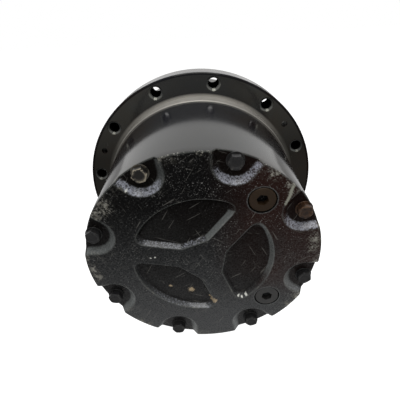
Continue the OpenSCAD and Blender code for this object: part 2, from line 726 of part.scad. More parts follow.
// Floating seal: two metal rings face to face, each on its own thick rubber ring
seal_lip_t = 3;
seal_ramp = 2;
seal_o_r = seal_o_d / 2;
seal_o_nest = 1;
seal_o_place = seal_lip_t + seal_ramp + seal_o_r - seal_o_nest;
module seal_ring() rotate_extrude() polygon([
    [seal_in_d / 2, 0], [seal_out_d / 2, 0], [seal_out_d / 2, seal_lip_t],
    [seal_in_d / 2 + seal_body_t, seal_lip_t + seal_ramp],
    [seal_in_d / 2 + seal_body_t, seal_ring_w - run_gap], [seal_in_d / 2, seal_ring_w - run_gap]]);
module seal_o_ring() rotate_extrude() translate([seal_house_d / 2 - seal_o_r, seal_o_place])
    circle(seal_o_r);
module fixed_seal_side() translate([0, 0, seal_face]) mirror([0, 0, 1]) children();
module turning_seal_side() translate([0, 0, seal_face + run_gap]) children();
module fixed_seal_ring() color("silver") on_axis() fixed_seal_side() seal_ring();
module turning_seal_ring() color("silver") on_axis() turning_seal_side() seal_ring();
module fixed_seal_o_ring() color("black") on_axis() fixed_seal_side() seal_o_ring();
module turning_seal_o_ring() color("black") on_axis() turning_seal_side() seal_o_ring();

tip_overrun = 0.8;

// Gear case: bearing seats, sprocket register and ring gear in one casting
module gear_case() color("#333333") on_axis() difference() {
    rotate_extrude() polygon([
        [lip_bore_d / 2, lip_in], [lip_d / 2, lip_in], [lip_d / 2, flange_back - case_fillet],
        [lip_d / 2 + case_fillet, flange_back], [flange_seat_d / 2, flange_back],
        [flange_seat_d / 2, sprocket_offset], [register_d / 2, sprocket_offset],
        [register_d / 2, sprocket_offset + register_l - case_chamfer],
        [register_d / 2 - case_chamfer, sprocket_offset + register_l],
        [case_d / 2, sprocket_offset + register_l], [case_d / 2, joint],
        [relief_d / 2, joint], [relief_d / 2, joint - relief_l], [ring_tip_r, joint - relief_l],
        [ring_tip_r, ring_in], [relief_d / 2, ring_in], [relief_d / 2, ring_in - runout_w],
        [bearing_d / 2 + seal_step, ring_in - runout_w], [bearing_d / 2 + seal_step, nut_in],
        [bearing_d / 2, nut_in], [bearing_d / 2, bearing_b], [rib_r, bearing_b], [rib_r, rib_in],
        [bearing_d / 2, rib_in], [bearing_d / 2, bearing_a - relief_l],
        [seal_house_d / 2, bearing_a - relief_l], [seal_house_d / 2, seal_face + seal_step],
        [lip_bore_d / 2, seal_face + seal_step]]);
    translate([0, 0, ring_in - cut]) linear_extrude(joint - relief_l + 2 * cut - ring_in)
        gear_2d(ring_teeth, ring_tip_r - tip_overrun, ring_root_r, backlash / 4);
    around(cover_bolts_n, cover_pcd / 2, cover_bolt_angle)
        rod(cover_bolt_d / 2, joint - cover_bolt_grip - cut, joint + cut);
    rotate_extrude() translate([cover_seal_r - cover_seal_w / 2, joint - cover_seal_depth])
        square([cover_seal_w, cover_seal_depth + cut]);
}

// Flange of the same casting that carries the sprocket, as a ring around the register
module sprocket_flange() color("#333333") on_axis() difference() {
    rotate_extrude() polygon([
        [flange_seat_d / 2, flange_back], [flange_back_r - case_chamfer, flange_back],
        [flange_back_r, flange_back + case_chamfer], [flange_d / 2, sprocket_offset - case_chamfer],
        [flange_d / 2 - case_chamfer, sprocket_offset], [flange_seat_d / 2, sprocket_offset]]);
    around(sprocket_holes, sprocket_pcd / 2, sprocket_hole_angle) {
        rod(sprocket_hole_d / 2, flange_back - cut, sprocket_offset + cut);
        translate([0, 0, sprocket_offset - sprocket_hole_chamfer])
            cylinder(r1 = sprocket_hole_d / 2, r2 = sprocket_hole_d / 2 + sprocket_hole_chamfer + cut,
                h = sprocket_hole_chamfer + cut);
    }
    around(jack_holes, jack_pcd / 2, sprocket_hole_angle + half_turn / sprocket_holes)
        rod(jack_hole_d / 2, flange_back - cut, sprocket_offset + cut);
}

// O-ring in the joint between the gear case and the end cover, and a seal ring under each plug
cover_seal_r = (relief_d + cover_pcd - cover_bolt_d) / 4;
cover_seal_w = 4.2;
cover_seal_depth = 3.8;
cover_seal_t = 3.7;
module cover_seals() color("black") on_axis() {
    translate([0, 0, joint - cover_seal_depth / 2]) rotate_extrude() translate([cover_seal_r, 0])
        circle(d = cover_seal_t);
    for (turn = [upper_plug_angle, lower_plug_angle]) plug_place(turn) tube(plug_d / 2 + plug_seal_t,
        plug_d / 2, cover_face - plug_head_t - plug_seal_t, cover_face - plug_head_t);
}

// End cover with its bolt pockets, plug seats and three cast recesses
cover_hole_gap = 0.75;
thrust_r = 22;
thrust_seat = 4;
thrust_proud = 3.6;
module past_line(turn, shift) rotate(turn) translate([0, shift, 0]) rotate([recess_draft, 0, 0])
    translate([-wide / 2, 0, -wide / 2]) cube([wide, wide / 2, wide]);
module recess(turn) translate([0, 0, cover_face + cover_crown / 2]) intersection() {
    translate([0, 0, -recess_depth]) cylinder(r1 = recess_r - recess_depth * tan(recess_draft),
        r2 = recess_r + cover_crown * tan(recess_draft), h = recess_depth + cover_crown);
    past_line(turn, spoke_w / 2);
    past_line(turn + planet_step + half_turn, spoke_w / 2);
    past_line(turn + planet_step / 2 - quarter_turn, recess_apex);
}
crown_r = plug_offset;
crown_steps = 6;
function crown_at(part) = [crown_r * part, cover_face + cover_crown * (1 - part * part)];
module plug_place(turn) rotate(turn) translate([plug_offset, 0, 0]) children();
module plug_seat() {
    rod(plug_head_d / 2 + plug_gap, cover_face - plug_head_t - plug_seal_t, cover_face + cover_crown);
    rod(plug_d / 2, joint - cut, cover_face);
}
module end_cover() color("#2b2b2d") on_axis() difference() {
    union() {
        rod(cover_d / 2, joint, cover_face - cover_chamfer);
        translate([0, 0, cover_face - cover_chamfer]) cylinder(r1 = cover_d / 2,
            r2 = cover_d / 2 - cover_chamfer, h = cover_chamfer);
        rotate_extrude() polygon(concat([[0, cover_face - cut], [crown_r, cover_face - cut]],
            [for (i = [0 : crown_steps]) crown_at(1 - i / crown_steps)]));
    }
    around(cover_bolts_n, cover_pcd / 2, cover_bolt_angle) {
        rod(cover_bolt_d / 2 + cover_hole_gap, joint - cut, cover_face);
        translate([0, 0, cover_face - pocket_depth]) cylinder(r1 = pocket_floor_r,
            r2 = pocket_face_r + (pocket_face_r - pocket_floor_r) * cut / pocket_depth,
            h = pocket_depth + cut);
    }
    plug_place(upper_plug_angle) plug_seat();
    plug_place(lower_plug_angle) plug_seat();
    for (i = [0 : 2]) recess(spoke_angle + i * planet_step);
    rod(thrust_r, joint - cut, joint + thrust_seat);
}

module thrust_plate() color("peru") on_axis() rod(thrust_r, joint - thrust_proud, joint + thrust_seat);

bolt_top = cover_face - pocket_depth + cover_bolt_head;
bolt_dish_r = 5.5;
bolt_dish = 1;
module cover_bolts() color("#3a3936") on_axis() around(cover_bolts_n, cover_pcd / 2, cover_bolt_angle)
    difference() {
        union() {
            rod(cover_bolt_d / 2, joint - cover_bolt_grip, cover_face - pocket_depth);
            hex_rod(cover_bolt_flats, cover_face - pocket_depth, bolt_top);
        }
        rod(bolt_dish_r, bolt_top - bolt_dish, bolt_top + cut);
    }

plug_chamfer = 0.8;
module level_plug(turn) plug_place(turn) difference() {
    union() {
        rod(plug_d / 2, joint, cover_face - plug_head_t);
        rod(plug_head_d / 2, cover_face - plug_head_t, cover_face - plug_chamfer);
        translate([0, 0, cover_face - plug_chamfer]) cylinder(r1 = plug_head_d / 2,
            r2 = plug_head_d / 2 - plug_chamfer, h = plug_chamfer);
    }
    hex_rod(plug_socket, cover_face - plug_socket_depth, cover_face + cut);
}
module level_plugs() color("#6b5a45") on_axis() {
    level_plug(upper_plug_angle);
    level_plug(lower_plug_angle);
}

// Fixed carrier of the second stage, bolted to the end of the spindle
sun2_room = 2;
sun2_bore_d = drive_shaft_d + 2 * sun2_room;
carrier2_bore_d = 60;
carrier_head_r = 9;
carrier_head_t = 7;
carrier_socket = 8;
carrier_socket_depth = 4;
module second_carrier() color("gray") on_axis() difference() {
    tube(carrier2_d / 2, carrier2_bore_d / 2, spindle_end, plate2_out);
    around(planets_n, arm2, planet_angle) rod(pin2_d / 2, spindle_end - cut, plate2_out + cut);
    carrier_bolt_places() {
        rod(carrier_bolt_d / 2 + seat_gap, spindle_end - cut, plate2_out);
        rod(carrier_head_r + seat_gap, plate2_out - carrier_head_t, plate2_out + cut);
    }
}
module carrier_bolts() color("dimgray") on_axis() carrier_bolt_places() difference() {
    union() {
        rod(carrier_bolt_d / 2, spindle_end - carrier_bolt_grip + cut, plate2_out - carrier_head_t);
        rod(carrier_head_r, plate2_out - carrier_head_t, plate2_out - side_gap);
    }
    hex_rod(carrier_socket, plate2_out - carrier_socket_depth, plate2_out + cut);
}

// Planet pin with a groove for its clip
clip_groove = 2;
clip_rim = 4;
module planet_pin(pin_r, from, to) difference() {
    rod(pin_r, from, to);
    tube(pin_r + cut, pin_r - clip_groove, to - pin_lip - clip_t, to - pin_lip);
}
module pin_clip(pin_r, to) tube(pin_r + clip_rim, pin_r - clip_groove, to - pin_lip - clip_t, to - pin_lip);
module needle_set(pin_r, from, to) {
    pitch = pin_r + run_gap + needle_d / 2;
    count = floor(PI * 2 * pitch / (needle_d + seat_gap));
    around(count, pitch) rod(needle_d / 2, from + side_gap, to - side_gap, $fn = 24);
}
function planet_bore(pin_d) = pin_d / 2 + needle_d + 2 * run_gap;
washer_rim = 10;
module thrust_washer(pin_r, from) tube(pin_r + washer_rim, pin_r + seat_gap, from, from + thrust_t);

module second_stage_pins() color("silver") on_axis() around(planets_n, arm2, planet_angle)
    planet_pin(pin2_d / 2, spindle_end, pin2_out);
module second_stage_needles() color("silver") on_axis() around(planets_n, arm2, planet_angle)
    needle_set(pin2_d / 2, planet2_in, planet2_out);
module second_thrust_washers() color("peru") on_axis() {
    around(planets_n, arm2, planet_angle) {
        thrust_washer(pin2_d / 2, plate2_out);
        thrust_washer(pin2_d / 2, planet2_out + side_gap);
    }
    tube(sun2_washer_r, sun2_bore_d / 2 + side_gap, plate2_out - thrust_t, plate2_out);
    sun2_ledge();
}
sun2_washer_r = 24;
module sun2_ledge() tube(carrier2_bore_d / 2, sun2_bore_d / 2 + side_gap, plate2_out - 2 * thrust_t,
    plate2_out - thrust_t);
module second_pin_clips() color("dimgray") on_axis() around(planets_n, arm2, planet_angle)
    pin_clip(pin2_d / 2, pin2_out);

module first_stage_pins() color("silver") on_axis() around(planets_n, arm1, planet_angle)
    planet_pin(pin1_d / 2, carrier1_in, pin1_out);
module first_stage_needles() color("silver") on_axis() around(planets_n, arm1, planet_angle)
    needle_set(pin1_d / 2, planet1_in, planet1_out);
module first_thrust_washers() color("peru") on_axis() around(planets_n, arm1, planet_angle) {
    thrust_washer(pin1_d / 2, carrier1_out);
    thrust_washer(pin1_d / 2, planet1_out + side_gap);
}
module first_pin_clips() color("dimgray") on_axis() around(planets_n, arm1, planet_angle)
    pin_clip(pin1_d / 2, pin1_out);

// Planets: a tooth points straight away from the axis
module planet(teeth, arm, pin_d, from, to, i) on_axis()
    rotate(planet_angle + i * planet_step) translate([arm, 0, 0]) difference() {
        outer_gear(teeth, from, to);
        rod(planet_bore(pin_d), from - cut, to + cut);
    }
module first_planet(i) color("lightsteelblue")
    planet(planet1_teeth, arm1, pin1_d, planet1_in, planet1_out, i);
module second_planet(i) color("lightsteelblue")
    planet(planet2_teeth, arm2, pin2_d, planet2_in, planet2_out, i);
module first_planet_1() first_planet(0);
module first_planet_2() first_planet(1);
module first_planet_3() first_planet(2);
module second_planet_1() second_planet(0);
module second_planet_2() second_planet(1);
module second_planet_3() second_planet(2);

// First carrier and the second sun gear that it turns
spline_r = 24;
spline_h = 3;
spline_w = 8;
spline_fit = 0.1;
sun2_lip = 1;
sun2_neck_r = pitch_r(sun2_teeth) - dedendum - sun2_lip;
module first_carrier() color("gray") on_axis() difference() {
    rod(carrier1_d / 2, carrier1_in, carrier1_out);
    around(planets_n, arm1, planet_angle) rod(pin1_d / 2, carrier1_in - cut, carrier1_out + cut);
    splined(spline_r, spline_h, spline_w, carrier1_in - cut, carrier1_out + cut);
}
module second_sun_gear() color("lightsteelblue") on_axis() difference() {
    union() {
        outer_gear(sun2_teeth, planet2_in, planet2_out + sun2_lip, planet_angle);
        rod(sun2_neck_r, plate2_out + side_gap, carrier1_in - side_gap);
        splined(spline_r - spline_fit, spline_h - spline_fit, spline_w - 2 * spline_fit,
            carrier1_in - side_gap - cut, carrier1_out + sun2_lip);
        tube(sun2_neck_r, sun2_bore_d / 2, carrier1_out, carrier1_out + sun2_lip);
    }
    rod(sun2_bore_d / 2, plate2_out, carrier1_out + cut + sun2_lip);
}

// First sun gear on a long shaft whose splined tail sits in the end of the motor shaft
tail_spline_r = 9.5;
tail_spline_h = 2.5;
tail_spline_w = 5;
drive_gap = 0.8;
module drive_gear() color("lightsteelblue") on_axis() {
    outer_gear(sun1_teeth, planet1_in + drive_gap, planet1_out + drive_gap,
        planet_angle + half_turn / sun1_teeth);
    rod(drive_shaft_d / 2, socket_out, planet1_in + drive_gap);
    rod(drive_shaft_d / 2, planet1_out + drive_gap, joint - thrust_proud - side_gap);
    splined(tail_spline_r - spline_fit, tail_spline_h, tail_spline_w - 2 * spline_fit,
        drive_tail, socket_out);
}
module motor_shaft() color("silver") on_axis() difference() {
    union() {
        rod(journal_d / 2, case_rear - shaft_bearing_w, case_rear + valve_plate_t);
        rod(shaft_d / 2, case_rear + valve_plate_t, pivot);
        rod(journal_d / 2, pivot, front_bore_end + run_gap);
        rod(coupling_r, front_bore_end + run_gap, socket_out - side_gap);
    }
    splined(tail_spline_r, tail_spline_h + spline_fit, tail_spline_w, socket_in, socket_out);
}

// Cylinder block with its piston bores
block_floor = 14;
port_hole_r = 4;
module cylinder_block() color("darkgray") on_axis() difference() {
    tube(block_d / 2, shaft_d / 2, block_rear, block_front);
    around(pistons_n, piston_r, quarter_turn) {
        rod(piston_d / 2 + run_gap, block_rear + block_floor, block_front + cut);
        rod(port_hole_r, block_rear - cut, block_front);
    }
}

// Heights of the piston balls follow the tilted swash plate
ball_r = 6;
neck_r = 4;
neck_l = 8;
piston_l = 56;
function piston_turn(i) = quarter_turn + i * 360 / pistons_n;
function ball_z(i) = pivot + piston_r * sin(piston_turn(i)) * tan(swash_tilt);
module pistons() color("silver") on_axis() for (i = [0 : pistons_n - 1])
    translate([piston_r * cos(piston_turn(i)), piston_r * sin(piston_turn(i)), ball_z(i)]) {
        sphere(ball_r, $fn = 32);
        rod(neck_r, -neck_l, 0);
        rod(piston_d / 2, -piston_l, -neck_l);
    }

// Everything square to the swash plate is drawn in its own tilted frame
module tilted() translate([0, 0, pivot]) rotate([swash_tilt, 0, 0]) children();
module shoe_places() for (i = [0 : pistons_n - 1])
    translate([piston_r * cos(piston_turn(i)), piston_r * sin(piston_turn(i)) / cos(swash_tilt), 0])
        children();
shoe_r = 8;
shoe_rim_r = 10.5;
shoe_rim_t = 3;
shoe_skirt = 2;
module piston_shoes() color("goldenrod") on_axis() tilted() shoe_places() difference() {
    union() {
        rod(shoe_r, -shoe_skirt, shoe_h - run_gap);
        rod(shoe_rim_r, shoe_h - shoe_rim_t, shoe_h - run_gap);
    }
    sphere(ball_r + run_gap, $fn = 32);
}
retainer_t = 2.3;
retainer_rim = 15;
retainer_r = piston_r + retainer_rim;
guide_wall = 4;
guide_r = shaft_d / 2 + guide_wall;
guide_in = 14;
shoe_fit = 0.2;
module retainer_plate() color("gray") on_axis() tilted() difference() {
    tube(retainer_r, guide_r + side_gap, shoe_h - shoe_rim_t - shoe_fit - retainer_t,
        shoe_h - shoe_rim_t - shoe_fit);
    shoe_places() rod(shoe_r + shoe_fit, -wide, wide);
}
module retainer_guide() color("silver") on_axis() difference() {
    intersection() {
        translate([0, 0, pivot]) sphere(guide_r);
        rod(guide_r, pivot - guide_in, pivot);
    }
    rod(shaft_d / 2, pivot - guide_r, pivot + cut);
}
swash_hole_gap = 8.5;
swash_hole_r = shaft_d / 2 + swash_hole_gap;
module swash_plate() color("lightgray") on_axis() tilted() difference() {
    union() {
        rod(swash_r, shoe_h, shoe_h + swash_t);
        intersection() {
            rod(swash_r, shoe_h, rocker_r + cut);
            for (sx = [-1, 1]) translate([sx * (rocker_in_x + rocker_out_x) / 2, 0, 0])
                rotate([0, quarter_turn, 0])
                    cylinder(r = rocker_r, h = rocker_out_x - rocker_in_x, center = true);
        }
    }
    rod(swash_hole_r, 0, wide);
}

// Piston that tips the swash plate to its high speed angle
speed_tip_r = 8;
speed_rod_l = 8;
speed_head_l = 18;
speed_z = pivot + (shoe_h + swash_t + speed_tip_r + side_gap + speed_piston_y * sin(swash_tilt))
    / cos(swash_tilt);
module speed_piston() color("silver") on_axis() translate([0, speed_piston_y, speed_z]) {
    sphere(speed_tip_r, $fn = 32);
    rod(speed_tip_r, 0, speed_rod_l);
    rod(speed_piston_r - run_gap, speed_rod_l, speed_rod_l + speed_head_l);
}

motor_case();
frame_flange();
rear_cover();
rear_cover_bolts();
valve_plate();
shaft_bearing_outer_rings();
shaft_seal();
swash_cradle();
brake_steel_plates();
brake_springs();
spool_caps();
relief_valves();
bearing_inner_rings();
bearing_nut();
second_carrier();
carrier_bolts();
second_stage_pins();
second_stage_needles();
second_thrust_washers();
second_pin_clips();
fixed_seal_ring();
fixed_seal_o_ring();
gear_case();
sprocket_flange();
end_cover();
cover_bolts();
level_plugs();
cover_seals();
thrust_plate();
bearing_outer_rings();
turning_seal_ring();
turning_seal_o_ring();
bearing_balls();
bearing_cages();
drive_gear();
motor_shaft();
cylinder_block();
pistons();
brake_friction_plates();
shaft_bearing_inner_rings();
shaft_bearing_balls();
retainer_guide();
piston_shoes();
retainer_plate();
swash_plate();
speed_piston();
brake_piston();
counterbalance_spool();
first_carrier();
second_sun_gear();
first_stage_pins();
first_stage_needles();
first_thrust_washers();
first_pin_clips();
first_planet_1();
first_planet_2();
first_planet_3();
second_planet_1();
second_planet_2();
second_planet_3();
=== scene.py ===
"""Looks of a crawler track drive: end cover towards -Y, spin axis along Y, +Z up, metres."""

import json
import math

import bpy
import numpy as np
from mathutils import Matrix, Vector

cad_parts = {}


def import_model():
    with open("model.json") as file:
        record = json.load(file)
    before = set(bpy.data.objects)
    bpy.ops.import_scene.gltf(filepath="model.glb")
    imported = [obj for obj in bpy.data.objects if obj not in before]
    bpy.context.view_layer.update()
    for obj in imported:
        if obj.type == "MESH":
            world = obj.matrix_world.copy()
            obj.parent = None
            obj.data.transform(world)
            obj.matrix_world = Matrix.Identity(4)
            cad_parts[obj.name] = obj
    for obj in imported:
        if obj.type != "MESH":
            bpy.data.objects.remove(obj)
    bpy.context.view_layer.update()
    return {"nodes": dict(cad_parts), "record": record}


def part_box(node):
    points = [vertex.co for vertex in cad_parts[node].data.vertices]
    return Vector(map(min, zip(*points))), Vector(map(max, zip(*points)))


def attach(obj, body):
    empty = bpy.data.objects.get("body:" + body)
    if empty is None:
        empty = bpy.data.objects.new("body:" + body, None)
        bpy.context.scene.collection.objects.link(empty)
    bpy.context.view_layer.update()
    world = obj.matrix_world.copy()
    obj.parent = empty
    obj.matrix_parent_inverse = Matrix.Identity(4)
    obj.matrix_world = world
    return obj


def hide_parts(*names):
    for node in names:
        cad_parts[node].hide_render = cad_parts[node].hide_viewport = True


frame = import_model()
nodes = frame["nodes"]
MM = 0.001

# The cover in millimetres and degrees: the first four off the boxes of CAD nodes, the rest close to the CAD.
# A wall's size is the width of its slope, and the flare is how much wider a pocket gets towards the rim.
FACE_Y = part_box("level_plugs")[0][1] / MM
JOINT_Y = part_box("end_cover")[1][1] / MM
COVER_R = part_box("end_cover")[1][0] / MM
CROWN = FACE_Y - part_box("end_cover")[0][1] / MM
CROWN_R, EDGE_R = 120, 1.3
SPOKE_TURNS, SPOKE_HALF = (49.7, 169.7, 289.7), 15.4
RECESS_R, RECESS_APEX, RECESS_DEPTH, RECESS_WALL = 97.3, 29, 7.5, 4.5
BOLT_R, BOLT_TURNS = 150.5, [27.2 + 45 * i for i in range(8)]
POCKET_R, POCKET_FLARE, POCKET_DEPTH, POCKET_WALL = 29.2, 4.6, 9.0, 7.7
PLUG_R, PLUG_TURNS, PLUG_SEAT_R, PLUG_SEAT_DEPTH = 120, (49, -41), 18.6, 8.4

# Bolt heads and washers in millimetres
HEAD_FLATS, HEAD_HEIGHT, DISH_R, DISH_DEPTH = 18.0, 8.6, 6.9, 1.3
WASHER_R, WASHER_T = 11.6, 1.3

# The sprocket flange in metres, and its dark rounds: first one's turn in degrees, count, circle and reach. In the
# bores the dark is painted shade.
# The spots lie beside four of the holes and show on the flange's rear face alone, as faint dark marks.
FLANGE_FRONT, FLANGE_REAR = -0.095, -0.052
SPROCKET_HOLES = (20.5, 12, 0.1835, 0.0122)
REAR_SPOTS = (-5.5, 4, 0.1835, 0.0085)

# Marks on the cover: u to the right, v up and radius, then the points of one streak, all in millimetres
DIRT = ((-20.5, -62, 4.8), (-50, -53, 2.4), (8, -75, 3.6), (12, -82, 5.6))
WHITE = ((-88, 114, 1.9), (48.5, -75.5, 1.8), (53.5, -77.5, 1.8), (60, -74.5, 2.0), (-65, 9, 1.2), (-71, 8, 1.2))
WORN = ((-121, 92, 15), (-131, 82, 13), (-153, -10, 10), (-150, -24, 9), (-103, -122, 9), (-91, -132, 8),
        (125, -98, 11), (137, -82, 10), (149, 9, 10), (152, 24, 12), (156, -16, 7), (113, 111, 9), (92, 127, 11),
        (-44, 153, 7), (5, 160, 6), (30, 160, 7))
STREAK = ((115, 107), (112, 94.5), (108, 81.5))

# The photo's view: turns in radians, focal length and picture width in pixels, sensor in mm, place in metres
YAW, PITCH, ROLL = 0.0244, 0.5621, -0.0677
FOCAL_PX, PICTURE_PX, SENSOR = 361.63, 400, 36
EYE = (0.0105, -0.6842, 0.3335)


# ---------------------------------------------------------------- node helpers
class Nodes:
    """A cleared node tree, with short calls for the nodes that the materials share."""

    def __init__(self, tree):
        self.tree = tree
        tree.nodes.clear()

    def node(self, kind, inputs=None, **settings):
        made = self.tree.nodes.new(kind)
        for key, value in settings.items():
            setattr(made, key, value)
        for key, value in (inputs or {}).items():
            self.feed(made.inputs[key], value)
        return made

    def feed(self, socket, value):
        if isinstance(value, bpy.types.NodeSocket):
            self.tree.links.new(value, socket)
        else:
            socket.default_value = value

    def math(self, operation, a, b=0.0, clamp=False):
        made = self.node("ShaderNodeMath", {0: a, 1: b}, operation=operation, use_clamp=clamp)
        return made.outputs[0]

    def times(self, value, *others):
        for other in others:
            value = self.math("MULTIPLY", value, other)
        return value

    def plus(self, value, *others):
        for other in others:
            value = self.math("ADD", value, other)
        return value

    def most(self, value, *others):
        for other in others:
            value = self.math("MAXIMUM", value, other)
        return value

    def rest(self, value):
        return self.math("SUBTRACT", 1.0, value)

    def span(self, value, low, high, to_low=0.0, to_high=1.0):
        """The value's place between low and high, on a clamped line from to_low to to_high."""
        made = self.node("ShaderNodeMapRange", {
            "Value": value, "From Min": low, "From Max": high, "To Min": to_low, "To Max": to_high})
        return made.outputs["Result"]


class Shader(Nodes):
    """A material's node tree, placed by the coordinates of the object."""

    def __init__(self, name):
        self.mat = bpy.data.materials.new(name)
        self.mat.use_nodes = True
        super().__init__(self.mat.node_tree)
        self.out = self.node("ShaderNodeOutputMaterial")
        self.place = self.node("ShaderNodeTexCoord").outputs["Object"]

    def noise(self, scale, detail=4.0, rough=0.6, vector=None):
        made = self.node("ShaderNodeTexNoise", {
            "Vector": vector or self.place, "Scale": scale, "Detail": detail, "Roughness": rough})
        return made.outputs["Fac"]

    def stretch(self, scale=(1, 1, 1), vector=None, turn=(0.0, 0.0, 0.0)):
        made = self.node("ShaderNodeMapping", {
            "Vector": vector or self.place, "Scale": scale, "Rotation": turn})
        return made.outputs["Vector"]

    def mix(self, factor, a, b):
        made = self.node("ShaderNodeMix", {0: factor}, data_type="RGBA")
        self.feed(made.inputs[6], a)
        self.feed(made.inputs[7], b)
        return made.outputs[2]

    def attribute(self, name):
        return self.node("ShaderNodeAttribute", attribute_name=name).outputs["Fac"]

    def bump(self, height, depth_mm, strength, under=None):
        made = self.node("ShaderNodeBump", {
            "Height": height, "Distance": depth_mm * MM, "Strength": strength})
        if under is not None:
            self.feed(made.inputs["Normal"], under)
        return made.outputs["Normal"]

    def finish(self, **inputs):
        """A principled surface whose inputs are named with _ for each space."""
        made = self.node("ShaderNodeBsdfPrincipled")
        for key, value in inputs.items():
            self.feed(made.inputs[key.replace("_", " ")], value)
        return self.close(made)

    def close(self, surface):
        self.tree.links.new(surface.outputs[0], self.out.inputs["Surface"])
        return self.mat


# ---------------------------------------------------------------- case paint
CASE_TONES = {
    # low and high: painted shade at the bottom and painted light at the top, blended by height
    "low": (0.0042, 0.0036, 0.0036, 1),
    "high": (0.0128, 0.0134, 0.0158, 1),
    "brown": (0.0085, 0.0045, 0.0034, 1),
    "aft": (0.021, 0.0215, 0.0225, 1),
    "aft_brown": (0.03, 0.0265, 0.023, 1),
    "speck": (0.12, 0.11, 0.1, 1),
    "scratch": (0.09, 0.085, 0.08, 1),
    "chamfer": (0.07, 0.072, 0.07, 1),
    # hole: near-black painted shade for the sprocket holes' bores, at half strength on the rear face
    "hole": (0.0015, 0.0015, 0.0015, 1),
    "bare": (0.31, 0.295, 0.268, 1),
    "lip_dark": (0.004, 0.004, 0.004, 1),
    "lip_light": (0.36, 0.35, 0.31, 1),
}


def round_mask(s, turn, radius, first, count, circle, reach):
    """1 within reach of the centre of each round on a bolt circle."""
    step = 360 / count
    folded = s.math("PINGPONG", s.plus(turn, 720.0 - first), step / 2)
    angle = s.math("RADIANS", folded)
    along = s.math("SUBTRACT", s.times(radius, s.math("COSINE", angle)), circle)
    across = s.times(radius, s.math("SINE", angle))
    far = s.math("SQRT", s.plus(s.times(along, along), s.times(across, across)))
    return s.span(far, reach + 0.0002, reach)


def case_masks(s, side, along, high):
    """Where the finish of the case changes, each from 0 to 1 but for flange. All places are in metres."""
    flat = s.node("ShaderNodeCombineXYZ", {0: side, 1: high})
    radius = s.node("ShaderNodeVectorMath", {0: flat.outputs[0]}, operation="LENGTH").outputs["Value"]
    turn = s.math("DEGREES", s.math("ARCTAN2", high, side))
    aft = s.span(along, FLANGE_REAR - 0.0005, FLANGE_REAR + 0.0005)
    past_chamfer = s.span(along, FLANGE_FRONT + 0.0025, FLANGE_FRONT + 0.0045)
    hole = s.most(round_mask(s, turn, radius, *SPROCKET_HOLES), round_mask(s, turn, radius, *REAR_SPOTS))
    outer = s.span(radius, 0.1958, 0.1964)
    return {
        # Everything behind the flange
        "aft": aft,
        # The sprocket holes' mouths; then their walls and, at half strength, the rear face around them, darkened
        # with painted shade
        "chamfer": s.times(hole, s.rest(past_chamfer), s.span(along, FLANGE_FRONT + 0.0005, FLANGE_FRONT + 0.0009)),
        "hole": s.times(hole, past_chamfer, s.rest(aft)),
        # The turned step between the drum and the flange, brightest at the top
        "register": s.times(s.span(radius, 0.1675, 0.1638), s.span(radius, 0.1601, 0.1604),
                            s.span(along, -0.1174, -0.1170), s.span(along, -0.0938, -0.0942),
                            s.span(high, 0.075, 0.157, 0.12, 1.0)),
        # The flange's outer face, and the bare part of it from 10 mm behind the front
        "outer": outer,
        "rim": s.times(outer, s.span(along, -0.0853, -0.0845)),
        # How much gloss the flange's front loses, which is less than none at the top
        "flange": s.times(s.span(radius, 0.1675, 0.169), s.span(high, 0.06, 0.17, 0.5, -0.65)),
        # The cover's side within 3.5 mm of its face
        "lip": s.times(s.span(along, -0.3035, -0.3055), s.span(radius, 0.1595, 0.16)),
    }


